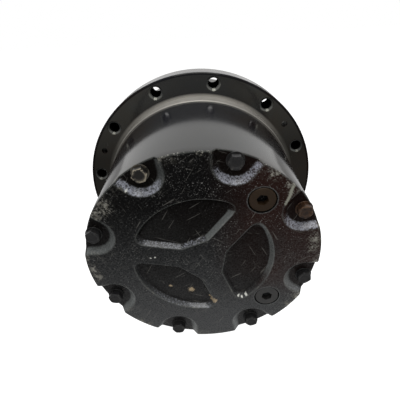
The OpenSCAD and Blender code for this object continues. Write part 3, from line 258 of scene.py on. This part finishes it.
def case_paint():
    """Semi-gloss black on turned iron, with the register and the flange rim turned bare."""
    s, tone = Shader("case_paint"), CASE_TONES
    side, along, high = s.node("ShaderNodeSeparateXYZ", {0: s.place}).outputs
    m = case_masks(s, side, along, high)
    fine, mid, cast = s.noise(420.0, 3.0), s.noise(60.0, 4.0), s.noise(240.0, 4.0, 0.65)
    rings = s.noise(1.0, 3.0, 0.6, s.stretch((3.0, 900.0, 3.0)))

    # Paint: painted light makes it lighter and bluer high up, and painted shade makes it darker low down; browner
    # in patches away from the middle, greyer behind the flange
    brown = s.times(s.span(s.noise(14.0, 6.0, 0.65), 0.4, 0.62, 0.1, 0.9),
                    s.span(s.math("ABSOLUTE", side), 0.03, 0.12, 0.2, 1.0))
    colour = s.mix(brown, s.mix(s.span(high, 0.05, 0.17), tone["low"], tone["high"]), tone["brown"])
    behind = s.mix(s.span(s.noise(30.0, 5.0, 0.65), 0.4, 0.65), tone["aft"], tone["aft_brown"])
    colour = s.mix(m["aft"], colour, behind)

    # Specks and scratches
    specks = s.span(s.noise(1500.0, 2.0, 0.7), 0.72, 0.78)
    colour = s.mix(s.times(specks, 0.25), colour, tone["speck"])
    scratch = s.noise(1.0, 2.0, 0.5, s.stretch((40.0, 900.0, 260.0), s.stretch(turn=(0.5, 0.3, 0.9))))
    colour = s.mix(s.span(scratch, 0.73, 0.76, 0.0, 0.5), colour, tone["scratch"])

    # Painted shade in the holes, bare metal and the chipped edge of the cover's side
    colour = s.mix(s.times(m["chamfer"], 0.8), colour, tone["chamfer"])
    colour = s.mix(m["hole"], colour, tone["hole"])
    turned = s.times(s.span(rings, 0.3, 0.7, 0.75, 1.0), s.span(mid, 0.2, 0.6, 0.8, 1.0))
    bare = s.times(s.most(m["register"], s.times(m["rim"], 0.31)), turned)
    colour = s.mix(bare, colour, tone["bare"])
    lip_dark = s.times(m["lip"], s.span(s.noise(300.0, 4.0, 0.7), 0.42, 0.47))
    lip_light = s.times(m["lip"], s.span(s.noise(480.0, 3.0, 0.7), 0.56, 0.62))
    colour = s.mix(lip_light, s.mix(lip_dark, colour, tone["lip_dark"]), tone["lip_light"])

    rough = s.plus(s.span(s.noise(9.0, 5.0), 0.3, 0.7, 0.1, 0.16), s.span(fine, 0.4, 0.7, -0.02, 0.03),
                   s.times(s.most(bare, m["lip"]), 0.25), s.times(m["aft"], 0.2))
    dull = s.times(s.most(m["hole"], s.times(lip_dark, 0.7)), 0.42)
    level = s.math("SUBTRACT", s.math("SUBTRACT", 0.38, dull), s.times(m["outer"], 0.34), clamp=True)
    level = s.most(s.times(level, s.rest(m["flange"])), s.times(m["aft"], 0.4))
    normal = s.bump(s.plus(s.times(rings, 0.6), s.times(mid, 0.6)), 0.03, 0.4)
    normal = s.bump(fine, 0.02, 0.3, normal)
    normal = s.bump(s.times(cast, m["aft"]), 0.2, 0.6, normal)
    return s.finish(Base_Color=colour, Roughness=rough, Normal=normal, Specular_IOR_Level=level,
                    Specular_Tint=(1.0, 1.0, 0.85, 1))


# ---------------------------------------------------------------- cover paint
COVER_TONES = {
    # low and high: painted shading, lighter low down and darker high up
    "low": (0.024, 0.0256, 0.0268, 1),
    "high": (0.003, 0.0029, 0.0029, 1),
    "brown": (0.0165, 0.0068, 0.0052, 1),
    # Painted shade for the floors of the recesses and pockets
    "hollow_shade": (0.0035, 0.0026, 0.0022, 1),
    # Painted glints: bright flecks on the cover's face
    "painted_glint": (0.2, 0.2, 0.19, 1),
    "hairline": (0.16, 0.155, 0.14, 1),
    # edge: painted highlight along the convex edges
    "edge": (0.066, 0.07, 0.067, 1),
    # line: painted smooth highlights on the walls and round the plug seats
    "line": (0.15, 0.16, 0.157, 1),
    "bare_light": (0.3, 0.29, 0.255, 1),
    "bare_dark": (0.095, 0.09, 0.074, 1),
    "streak": (0.24, 0.24, 0.2, 1),
    "white": (0.6, 0.6, 0.55, 1),
    "dirt": (0.36, 0.28, 0.18, 1),
    "glint": (0.27, 0.28, 0.325, 1),
}
COVER_FIELDS = ("edge", "rim", "hollow_shade", "wall", "line", "brown", "dirt", "white", "patch", "streak")


def hairlines(s):
    """Fine scratches in four directions, each in patches of its own."""
    layers = []
    for layer, turn in enumerate((0.5, 1.25, 2.1, 2.6)):
        lines = s.noise(1.0, 2.0, 0.4, s.stretch((520.0, 1.0, 26.0), s.stretch(turn=(0.0, turn, 0.0))))
        where = s.span(s.noise(17.0 + 3 * layer, 2.0), 0.5, 0.56)
        layers.append(s.times(s.span(lines, 0.69, 0.72), where))
    return s.most(*layers)


def cover_paint():
    """Worn gloss black on a rough casting, browner to the right, with painted shading that greys it low down and
    darkens it high up.
    """
    s, tone = Shader("cover_paint"), COVER_TONES
    field = {name: s.attribute(name) for name in COVER_FIELDS}
    height = s.node("ShaderNodeSeparateXYZ", {0: s.place}).outputs[2]
    high = s.span(height, -0.13, 0.09)
    grain, lump, wave = s.noise(430.0, 3.0, 0.7), s.noise(130.0, 4.0, 0.6), s.noise(24.0, 4.0, 0.55)

    # Paint, and painted glints: bright flecks that stand in for highlights off its rough grain
    brown = s.times(field["brown"], s.span(s.noise(7.0, 4.0), 0.3, 0.55))
    # Painted shading: lighter low down, darker high up
    colour = s.mix(brown, s.mix(high, tone["low"], tone["high"]), tone["brown"])
    # Painted shade darkens the floors of the recesses and pockets
    colour = s.mix(s.times(field["hollow_shade"], 0.7), colour, tone["hollow_shade"])
    painted_glints = s.times(s.span(s.noise(520.0, 3.0, 0.65), 0.59, 0.68),
                     s.span(s.noise(30.0, 5.0, 0.7), 0.4, 0.62, 0.15, 1.0),
                     s.span(field["hollow_shade"], 0.0, 1.0, 1.0, 0.2),
                     s.span(height, -0.14, -0.06, 0.25, 1.0))
    colour = s.mix(s.times(painted_glints, 0.9), colour, tone["painted_glint"])
    colour = s.mix(s.times(hairlines(s), 0.4), colour, tone["hairline"])

    # Painted highlights along the edges and on the lit walls, and worn edges
    colour = s.mix(s.times(field["edge"], 0.55), colour, tone["edge"])
    colour = s.mix(s.times(field["line"], s.span(grain, 0.3, 0.7, 0.65, 0.95)), colour, tone["line"])
    chips = s.span(s.plus(s.noise(230.0, 6.0, 0.8), s.times(field["patch"], 0.045)), 0.5, 0.56)
    worn = s.math("MULTIPLY", s.plus(s.times(field["edge"], 0.45), s.times(field["rim"], 0.8)),
                  s.span(s.noise(38.0, 5.0, 0.7), 0.42, 0.62), clamp=True)
    worn = s.times(s.most(worn, field["patch"]), chips)
    bare = s.mix(s.span(s.noise(260.0, 4.0), 0.4, 0.6), tone["bare_light"], tone["bare_dark"])
    colour = s.mix(s.times(worn, 0.85), colour, bare)
    for name in ("streak", "white", "dirt"):
        colour = s.mix(field[name], colour, tone[name])
    glints = s.plus(grain, s.times(s.math("SUBTRACT", field["wall"], 1.0), 0.3))
    glints = s.times(s.span(glints, 0.36, 0.6), s.span(field["wall"], 0.0, 0.4))
    colour = s.mix(s.times(glints, 0.8), colour, tone["glint"])

    rough = s.plus(s.span(grain, 0.35, 0.7, 0.22, 0.4), s.times(worn, 0.25))
    rough = s.math("ADD", rough, s.times(field["dirt"], 0.4), clamp=True)
    level = s.times(s.span(grain, 0.4, 0.64, s.span(high, 0.0, 0.6, 0.3, 0.1), 0.5),
                    s.span(high, 0.0, 1.0, 1.1, 0.16), s.span(field["hollow_shade"], 0.0, 1.0, 1.0, 0.6))
    level = s.plus(level, s.times(field["wall"], 0.3))
    normal = s.bump(grain, 0.22, 1.0, s.bump(lump, 0.3, 0.8, s.bump(wave, 0.4, 0.5)))
    return s.finish(Base_Color=colour, Roughness=rough, Normal=normal, Specular_IOR_Level=level)


# ---------------------------------------------------------------- other materials
def plain(name, colour, rough, metal, grain, depth, spread=0.08, second=None, streak=None, level=0.5):
    """A metal, paint or rubber with fine grain, uneven gloss and a second tint in patches."""
    s = Shader(name)
    fine = s.noise(grain, 4.0, 0.65, s.stretch(streak) if streak else s.place)
    patch = s.noise(22.0, 5.0, 0.6)
    second = second or tuple(min(1.0, c * 1.5) for c in colour)
    light = tuple(min(1.0, c * 2.2) for c in colour)
    base = s.mix(s.span(patch, 0.42, 0.68), (*colour, 1), (*second, 1))
    base = s.mix(s.span(fine, 0.62, 0.8, 0.0, 0.35), base, (*light, 1))
    gloss = s.plus(s.span(patch, 0.3, 0.7, rough - spread / 2, rough + spread / 2),
                   s.span(fine, 0.3, 0.7, -spread / 3, spread / 3))
    return s.finish(Base_Color=base, Roughness=gloss, Metallic=metal, Normal=s.bump(fine, depth, 0.6),
                    Specular_IOR_Level=level)


def bolt_paint(name, colour, worn_colour, amount, rust):
    """Paint on a bolt head, rusty in patches and worn off the edges by amount."""
    s = Shader(name)
    patch = s.noise(160.0, 5.0, 0.7)
    base = s.mix(s.span(patch, 0.4, 0.65), (*colour, 1), (*rust, 1))
    worn = s.math("MULTIPLY", s.attribute("edge"), s.span(patch, 0.62 - amount / 2, 0.7 - amount / 2), clamp=True)
    base = s.mix(s.times(worn, min(1.0, 0.35 + amount)), base, (*worn_colour, 1))
    rough = s.span(s.noise(400.0, 3.0), 0.3, 0.7, 0.28, 0.5)
    return s.finish(Base_Color=base, Roughness=rough, Normal=s.bump(patch, 0.12, 0.6), Specular_IOR_Level=0.2)


PLAIN = {
    "plug_bare": dict(colour=(0.021, 0.0125, 0.0065), rough=0.42, metal=0.1, grain=240.0, depth=0.05, spread=0.14,
                      second=(0.034, 0.0205, 0.011), level=0.12),
    "plug_paint": dict(colour=(0.013, 0.0128, 0.0125), rough=0.3, metal=0.0, grain=260.0, depth=0.08, spread=0.1,
                       second=(0.02, 0.018, 0.016), level=0.4),
    "rubber": dict(colour=(0.012, 0.012, 0.012), rough=0.55, metal=0.0, grain=500.0, depth=0.04),
    "ground_steel": dict(colour=(0.42, 0.42, 0.43), rough=0.24, metal=1.0, grain=260.0, depth=0.01, spread=0.1,
                         second=(0.5, 0.49, 0.47), streak=(1.0, 14.0, 1.0)),
    "gear_steel": dict(colour=(0.24, 0.24, 0.26), rough=0.34, metal=1.0, grain=320.0, depth=0.02, spread=0.14,
                       second=(0.34, 0.33, 0.32)),
    "machined_iron": dict(colour=(0.17, 0.17, 0.175), rough=0.4, metal=1.0, grain=240.0, depth=0.03, spread=0.14,
                          second=(0.24, 0.23, 0.22)),
    "bronze": dict(colour=(0.46, 0.27, 0.1), rough=0.34, metal=1.0, grain=260.0, depth=0.02, spread=0.12,
                   second=(0.54, 0.36, 0.16)),
    "friction": dict(colour=(0.075, 0.048, 0.03), rough=0.75, metal=0.0, grain=420.0, depth=0.08),
    "bolt_steel": dict(colour=(0.16, 0.16, 0.162), rough=0.4, metal=0.8, grain=300.0, depth=0.03, spread=0.12,
                       second=(0.22, 0.2, 0.17)),
    "bearing_steel": dict(colour=(0.56, 0.56, 0.58), rough=0.12, metal=1.0, grain=200.0, depth=0.003, spread=0.05,
                          second=(0.6, 0.6, 0.6)),
}
MATS = {name: plain(name, **look) for name, look in PLAIN.items()}
MATS["case_paint"] = case_paint()
MATS["cover_paint"] = cover_paint()
MATS["bolt_black"] = bolt_paint("bolt_black", (0.009, 0.009, 0.0095), (0.1, 0.095, 0.085), 0.1,
                                (0.015, 0.0145, 0.014))

SLOT_OF = {row["node"]: row["material_slot"] for row in frame["record"]["subparts"]}
for name, obj in nodes.items():
    obj.data.materials.clear()
    obj.data.materials.append(MATS[SLOT_OF[name]])


# ---------------------------------------------------------------- mesh helpers
def place(u, v, depth):
    """A point of the cover: u to the right, v up, depth behind the face, all in millimetres."""
    return np.stack([u * MM, (FACE_Y + depth + 0 * u) * MM, v * MM], axis=-1)


def build(name, verts, faces, body, slot, smooth, values):
    """A piece from points in metres, faces wound clockwise as seen from outside, and point values."""
    mesh = bpy.data.meshes.new(name)
    mesh.from_pydata([tuple(v) for v in verts], [], [tuple(int(i) for i in reversed(f)) for f in faces])
    mesh.update()
    for key, data in values.items():
        layer = mesh.attributes.new(key, "FLOAT", "POINT")
        layer.data.foreach_set("value", np.asarray(data, np.float32))
    obj = bpy.data.objects.new(name, mesh)
    bpy.context.scene.collection.objects.link(obj)
    mesh.shade_smooth()
    mesh.set_sharp_from_angle(angle=math.radians(smooth))
    mesh.materials.append(MATS[slot])
    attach(obj, body)
    return obj


def smooth_min(a, b, k):
    """The smaller of a and b, blended where they differ by less than k."""
    h = np.clip(0.5 + 0.5 * (b - a) / k, 0, 1)
    return b * (1 - h) + a * h - k * h * (1 - h)


def ramp(x, soft):
    """0 below 0 and 1 above 1, with both corners rounded over soft."""
    def bend(t):
        return np.where(t < -soft, 0, np.where(t > soft, t, (t + soft) ** 2 / (4 * soft)))
    return bend(x) - bend(x - 1)


def fade(x, low, high):
    """A smooth step from 0 at low to 1 at high."""
    t = np.clip((x - low) / (high - low), 0, 1)
    return t * t * (3 - 2 * t)


# ---------------------------------------------------------------- end cover's shape
def recess_inside(u, v, turn):
    """Distance in from the face edge of one cast recess, between two spokes."""
    a, b, m = (np.radians(t) for t in (turn, turn + 300, turn + 60))
    first = -np.sin(a) * u + np.cos(a) * v - SPOKE_HALF
    second = -np.sin(b) * u + np.cos(b) * v - SPOKE_HALF
    chord = np.cos(m) * u + np.sin(m) * v - RECESS_APEX
    outer = RECESS_R - np.hypot(u, v)
    inside = smooth_min(smooth_min(first, chord, 1.6), second, 1.6)
    return smooth_min(inside, outer, 17.0)


def pocket_inside(u, v, turn):
    """Distance in from the face edge of one bolt pocket, which opens wider towards the rim."""
    a = np.radians(turn)
    out = np.cos(a) * u + np.sin(a) * v - BOLT_R
    across = -np.sin(a) * u + np.cos(a) * v
    flare = POCKET_FLARE * fade(out, -6, 11)
    return POCKET_R + flare - np.where(out > 0, np.abs(across), np.hypot(out, across))


def cover_depth(u, v):
    """Depth of the cover's front behind its flat face, and the parts of it cut by recesses and pockets."""
    r = np.hypot(u, v)
    recess = [RECESS_DEPTH * ramp(recess_inside(u, v, t) / RECESS_WALL, 0.16) for t in SPOKE_TURNS]
    pocket = [POCKET_DEPTH * ramp(pocket_inside(u, v, t) / POCKET_WALL, 0.16) for t in BOLT_TURNS]
    cut = np.max(recess, axis=0) + np.max(pocket, axis=0)
    inset = COVER_R - r
    rim = np.where(inset < EDGE_R, EDGE_R - np.sqrt(np.maximum(0, EDGE_R ** 2 - (EDGE_R - inset) ** 2)), 0)
    sag = 0.5 * fade(r, CROWN_R, COVER_R)
    crown = CROWN * np.maximum(0, 1 - (r / CROWN_R) ** 2)
    return cut + rim + sag * (cut < 1) - crown, recess, pocket


def cover_grid():
    """Distance and turn of the sheet's points, closer together where the surface bends."""
    spans = ((0, 25, 1.2), (25, 37, 0.6), (37, 86, 1.0), (86, 99, 0.5), (99, 118, 1.0),
             (118, COVER_R - EDGE_R, 0.55))
    r = np.concatenate([np.arange(low, high, step) for low, high, step in spans])[1:]
    r = np.append(r, COVER_R - EDGE_R * (1 - np.sin(np.linspace(0, np.pi / 2, 7))))
    turn = np.linspace(0, 2 * np.pi, 900, endpoint=False)
    return np.meshgrid(r, turn, indexing="ij")


# ---------------------------------------------------------------- end cover's paint
def lit_walls(u, v, across, up, recess, pocket):
    """Strength of the speckled and of the smooth highlights on the walls, from where the walls face.

    Recess 0 is at the upper left, 1 at the lower left and 2 at the right. Pocket 0 is at the upper right, and
    the others follow over the top, anticlockwise. A point whose owner is 9 lies in none of them.
    """
    steep = np.maximum(np.hypot(across, up), 1e-6)
    inward = (u * across + v * up) / steep / np.maximum(np.hypot(u, v), 1)
    spoke = np.radians(SPOKE_TURNS[0])
    upper = np.clip((-np.sin(spoke) * across + np.cos(spoke) * up) / steep, 0, 1)
    rise, steep = np.clip(up / 1.3, 0, 1), np.clip(steep / 1.1, 0, 1)
    slope = fade(upper, 0.9, 0.97)
    arc = fade(-inward, 0.7, 0.95)
    owner = np.where(np.max(recess, axis=0) > 0.05, np.argmax(recess, axis=0), 9)
    wall = rise * np.select([owner == 0, owner == 1], [0.6 * (1 - slope), 0.55 * fade(u, -92, -62)], 0)
    line = steep * np.select(
        [owner == 0, owner == 1, owner == 2],
        [0.8 * slope, 0.35 * fade(-up / 1.1, 0.6, 0.95),
         0.75 * arc * fade(v, -52, -18) + 0.4 * fade(-up, 0.1, 0.8)], 0)
    owner = np.where(np.max(pocket, axis=0) > 0.05, np.argmax(pocket, axis=0), 9)
    wall = np.maximum(wall, np.clip(up / 0.75, 0, 1) * np.select([owner < 3, owner == 7], [1, 0.4], 0))
    side = np.clip(np.sign(u) * across / 1.1, 0, 1)
    side = side * np.select([owner == 2, (owner > 2) & (owner < 8)], [0.45, 0.8], 0)
    line = np.maximum(line, np.maximum(side, 0.75 * rise * (owner == 3)))
    return wall, line


def blots(u, v, uneven, places, solid):
    """Uneven round marks, full out to this share of their radius."""
    marks = [1 - fade(np.hypot(u - cu, v - cv) * uneven, size * solid, size) for cu, cv, size in places]
    return np.max(marks, axis=0)


def streak_mark(u, v, uneven):
    """The run of bare metal along STREAK."""
    mark = np.zeros_like(u)
    for (au, av), (bu, bv) in zip(STREAK, STREAK[1:]):
        length_sq = (bu - au) ** 2 + (bv - av) ** 2
        part = np.clip(((u - au) * (bu - au) + (v - av) * (bv - av)) / length_sq, 0, 1)
        far = np.hypot(u - au - part * (bu - au), v - av - part * (bv - av))
        mark = np.maximum(mark, 1 - fade(far * uneven, 1.2, 2.6))
    return mark


def cover_fields(rr, tt, u, v, depth, recess, pocket):
    """The values of COVER_FIELDS at each point of the sheet."""
    step = 0.9
    near = [cover_depth(u + du, v + dv)[0] for du, dv in ((step, 0), (-step, 0), (0, step), (0, -step))]
    across, up = (near[0] - near[1]) / (2 * step), (near[2] - near[3]) / (2 * step)
    wall, line = (values * (COVER_R - rr > 2) for values in lit_walls(u, v, across, up, recess, pocket))
    # Painted highlight: a thin light ring round each plug seat's edge
    for plug in np.radians(PLUG_TURNS):
        far = np.hypot(u - PLUG_R * np.cos(plug), v - PLUG_R * np.sin(plug))
        line = np.maximum(line, 0.45 * (1 - fade(np.abs(far - PLUG_SEAT_R - 0.5), 0.3, 1.2)))
    recess, pocket = np.max(recess, axis=0), np.max(pocket, axis=0)
    uneven = 1 + 0.35 * np.sin(u * 1.3 + v * 0.4) * np.sin(v * 1.1 + u * 0.3)
    return {
        "edge": np.clip((np.mean(near, axis=0) - depth) / 0.16, 0, 1),
        "rim": fade(rr, 138, 161) * (pocket < 4) * (0.55 + 0.45 * np.abs(np.cos(tt)) ** 2),
        # Painted shade: how dark the floors of the recesses and pockets are painted
        "hollow_shade": np.clip(np.maximum(recess / 7.0, pocket / 8.5), 0, 1) ** 3,
        "wall": wall,
        "line": line,
        "brown": fade(u, 0, 80) * fade(v, -110, -20),
        "dirt": blots(u, v, uneven, DIRT, 0.6),
        "white": blots(u, v, uneven, WHITE, 0.6),
        "patch": blots(u, v, uneven, WORN, 0.3) * (pocket < 4),
        "streak": streak_mark(u, v, uneven),
    }


def end_cover():
    """The casting as a dense polar sheet over a plain drum, with the plug seats cut out."""
    rr, tt = cover_grid()
    rings, around = rr.shape
    u, v = rr * np.cos(tt), rr * np.sin(tt)
    depth, recess, pocket = cover_depth(u, v)
    fields = cover_fields(rr, tt, u, v, depth, recess, pocket)
    shift = np.sin(u * 0.21 + 1.3 * np.sin(v * 0.13)) * np.sin(v * 0.19 + np.sin(u * 0.11))
    depth = np.maximum(depth + 0.12 * shift * (rr < COVER_R - 4), -CROWN)
    joint, middle = JOINT_Y - FACE_Y, np.zeros(1)
    verts = np.concatenate([
        place(u, v, depth).reshape(-1, 3),
        place(u[-1], v[-1], np.maximum(depth[-1] + 1.0, 14.0)),
        place(u[-1], v[-1], joint),
        place(middle, middle, -CROWN),
        place(middle, middle, joint)])

    # Rings of quads from the centre out and back to the joint, and a fan of triangles at each end
    index = np.arange((rings + 2) * around).reshape(rings + 2, around)
    beside = np.roll(index, -1, axis=1)
    faces = np.stack([index[:-1], beside[:-1], beside[1:], index[1:]], axis=-1).reshape(-1, 4).tolist()
    centre, back = len(verts) - 2, len(verts) - 1
    for i in range(around):
        faces.append((centre, beside[0, i], index[0, i]))
        faces.append((index[-1, i], beside[-1, i], back))
    padding = np.zeros(2 * around + 2)
    values = {name: np.concatenate([fields[name].reshape(-1), padding]) for name in COVER_FIELDS}

    obj = build("end_cover_casting", verts, faces, "hub", "cover_paint", 60.0, values)
    obj.data.materials.append(MATS["case_paint"])
    drum = (COVER_R - 0.4) * MM
    for face in obj.data.polygons:
        if math.hypot(face.center.x, face.center.z) > drum and abs(face.normal.y) < 0.5:
            face.material_index = 1
    for turn in PLUG_TURNS:
        cut_seat(obj, math.radians(turn))
    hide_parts("end_cover")


def cut_seat(obj, turn):
    """Cut the round seat of a level plug into the cover's face."""
    bpy.ops.mesh.primitive_cylinder_add(
        vertices=96, radius=PLUG_SEAT_R * MM, depth=2 * PLUG_SEAT_DEPTH * MM, rotation=(math.pi / 2, 0, 0),
        location=(PLUG_R * math.cos(turn) * MM, FACE_Y * MM, PLUG_R * math.sin(turn) * MM))
    cutter = bpy.context.object
    cut = obj.modifiers.new("seat", "BOOLEAN")
    cut.operation, cut.solver, cut.object = "DIFFERENCE", "EXACT", cutter
    view = bpy.context.evaluated_depsgraph_get()
    mesh = bpy.data.meshes.new_from_object(obj.evaluated_get(view))
    obj.modifiers.clear()
    obj.data = mesh
    mesh.set_sharp_from_angle(angle=math.radians(60.0))
    bpy.data.objects.remove(cutter)


# ---------------------------------------------------------------- cover bolts
# Radius, height and wear of the washer's rings, from under the head out, up and back in
WASHER = [(4.0, 0.0, 0.0), (WASHER_R - 0.3, 0.0, 0.0), (WASHER_R, 0.3, 0.0), (WASHER_R, WASHER_T - 0.3, 0.1),
          (WASHER_R - 0.3, WASHER_T, 0.3), (8.0, WASHER_T, 0.0)]


def head_rings(turn):
    """Radius, height and wear of the rings of a hex head with a chamfered, dished top, from its seat up."""
    hexed = HEAD_FLATS / 2 / np.cos((turn + np.pi / 6) % (np.pi / 3) - np.pi / 6)
    hexed = np.minimum(hexed, HEAD_FLATS / 2 * 1.135)
    top_r = HEAD_FLATS / 2 * 0.95
    fall = np.maximum(0, hexed - top_r) * 0.55
    dish = HEAD_HEIGHT - DISH_DEPTH
    return [(hexed * 0.2, 0, 0), (hexed - 0.3, 0, 0), (hexed, 0.3, 0),
            (hexed, (HEAD_HEIGHT - fall) * 0.7, 0), (hexed, HEAD_HEIGHT - fall - 0.25, 0.6),
            (hexed - 0.25, HEAD_HEIGHT - fall * 0.8, 1.0), (top_r, HEAD_HEIGHT - 0.02, 1.0),
            (DISH_R + 0.5, HEAD_HEIGHT, 0.7), (DISH_R, HEAD_HEIGHT - 0.25, 0.2),
            (DISH_R * 0.75, dish, 0.0), (0.3, dish, 0.0)]


def cover_bolt(i):
    """One washer and bolt head on the floor of its pocket, each head turned by its own angle."""
    n = 72
    turn = np.linspace(0, 2 * np.pi, n, endpoint=False)
    facing = turn + math.radians(17.0 * i + 8.0)
    a = math.radians(BOLT_TURNS[i])
    verts, faces, edge = [], [], []
    for base, rings in ((0.0, WASHER), (WASHER_T, head_rings(turn))):
        start = len(verts)
        for radius, height, worn in rings:
            radius, height = radius * np.ones(n), height * np.ones(n)
            verts.extend(place(BOLT_R * math.cos(a) + radius * np.cos(facing),
                               BOLT_R * math.sin(a) + radius * np.sin(facing),
                               POCKET_DEPTH - base - height).tolist())
            edge.extend([worn] * n)
        for first in range(start, len(verts) - n, n):
            for j in range(n):
                p, q = first + j, first + (j + 1) % n
                faces.append((p, q, q + n, p + n))
        faces.append(tuple(range(len(verts) - n, len(verts))))
    return build("cover_bolt_head_%d" % (i + 1), verts, faces, "hub", "bolt_black", 30.0, {"edge": edge})


def cover_bolts():
    """All eight heads: the first is browned and the third worn to a beige metal."""
    beige = bolt_paint("bolt_worn_beige", (0.006, 0.0055, 0.005), (0.34, 0.3, 0.23), 0.38, (0.012, 0.01, 0.008))
    rusty = bolt_paint("bolt_brown", (0.016, 0.009, 0.006), (0.1, 0.06, 0.035), 0.25, (0.045, 0.022, 0.011))
    heads = [cover_bolt(i) for i in range(len(BOLT_TURNS))]
    heads[0].data.materials[0] = rusty
    heads[2].data.materials[0] = beige
    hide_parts("cover_bolts")


def level_plugs():
    """Soften the plugs' edges, and paint the lower one."""
    obj = nodes["level_plugs"]
    bevel = obj.modifiers.new("edges", "BEVEL")
    bevel.width, bevel.segments = 0.4 * MM, 2
    bevel.limit_method, bevel.angle_limit = "ANGLE", math.radians(30.0)
    bevel.harden_normals = True
    obj.data.materials.append(MATS["plug_paint"])
    for face in obj.data.polygons:
        if face.center.z < 0:
            face.material_index = 1


# ---------------------------------------------------------------- floor, light, camera
def stage():
    """A pale floor, lifted to white for the camera, which still takes the drive's shadow."""
    bpy.ops.mesh.primitive_plane_add(size=12, location=(0, 0, -0.62))
    floor = bpy.context.object
    floor.name = "floor"
    s = Shader("floor")
    ray = s.node("ShaderNodeLightPath")
    seen = s.most(ray.outputs["Is Camera Ray"], ray.outputs["Is Transmission Ray"])
    grey = s.node("ShaderNodeBsdfDiffuse", {"Color": (0.7, 0.7, 0.7, 1)})
    glow = s.node("ShaderNodeEmission", {"Color": (1, 1, 1, 1), "Strength": 0.65})
    both = s.node("ShaderNodeAddShader", {0: grey.outputs[0], 1: glow.outputs[0]})
    pick = s.node("ShaderNodeMixShader", {0: seen, 1: grey.outputs[0], 2: both.outputs[0]})
    floor.data.materials.append(s.close(pick))


def world():
    """White where it is seen or mirrored, half as strong as a light."""
    made = bpy.data.worlds.new("studio")
    bpy.context.scene.world = made
    made.use_nodes = True
    n = Nodes(made.node_tree)
    ray = n.node("ShaderNodeLightPath")
    seen = n.most(*(ray.outputs[kind] for kind in ("Is Camera Ray", "Is Transmission Ray", "Is Glossy Ray")))
    back = n.node("ShaderNodeBackground", {"Color": (1, 1, 1, 1), "Strength": n.span(seen, 0.0, 1.0, 0.5, 1.0)})
    n.node("ShaderNodeOutputWorld", {"Surface": back.outputs[0]})


def lamp(name, where, towards, size, power):
    """A soft rectangular lamp, out of the camera's sight."""
    data = bpy.data.lights.new(name, "AREA")
    data.shape, data.energy = "RECTANGLE", power
    data.size, data.size_y = size
    obj = bpy.data.objects.new(name, data)
    bpy.context.scene.collection.objects.link(obj)
    obj.location = where
    obj.rotation_euler = (Vector(towards) - Vector(where)).to_track_quat("-Z", "Y").to_euler()
    obj.visible_camera = False


def camera():
    """The photo's camera, from its yaw, pitch and roll."""
    right = Vector((math.cos(YAW), math.sin(YAW), 0))
    ahead = Vector((-math.sin(YAW) * math.cos(PITCH), math.cos(YAW) * math.cos(PITCH), -math.sin(PITCH)))
    up = right.cross(ahead)
    side = math.cos(ROLL) * right + math.sin(ROLL) * up
    top = -math.sin(ROLL) * right + math.cos(ROLL) * up
    data = bpy.data.cameras.new("photo_camera")
    data.sensor_width, data.lens = SENSOR, FOCAL_PX * SENSOR / PICTURE_PX
    obj = bpy.data.objects.new("photo_camera", data)
    bpy.context.scene.collection.objects.link(obj)
    obj.matrix_world = Matrix.Translation(EYE) @ Matrix((side, top, -ahead)).transposed().to_4x4()
    bpy.context.scene.camera = obj


end_cover()
cover_bolts()
level_plugs()
stage()
world()
lamp("behind", (0, 1.2, 2.4), (0, 0, 0), (2.4, 1.2), 26)
lamp("above", (0.05, -0.85, 1.9), (0, -0.3, 0), (1.1, 1.6), 32)
camera()
bpy.context.scene.view_settings.view_transform = "Standard"
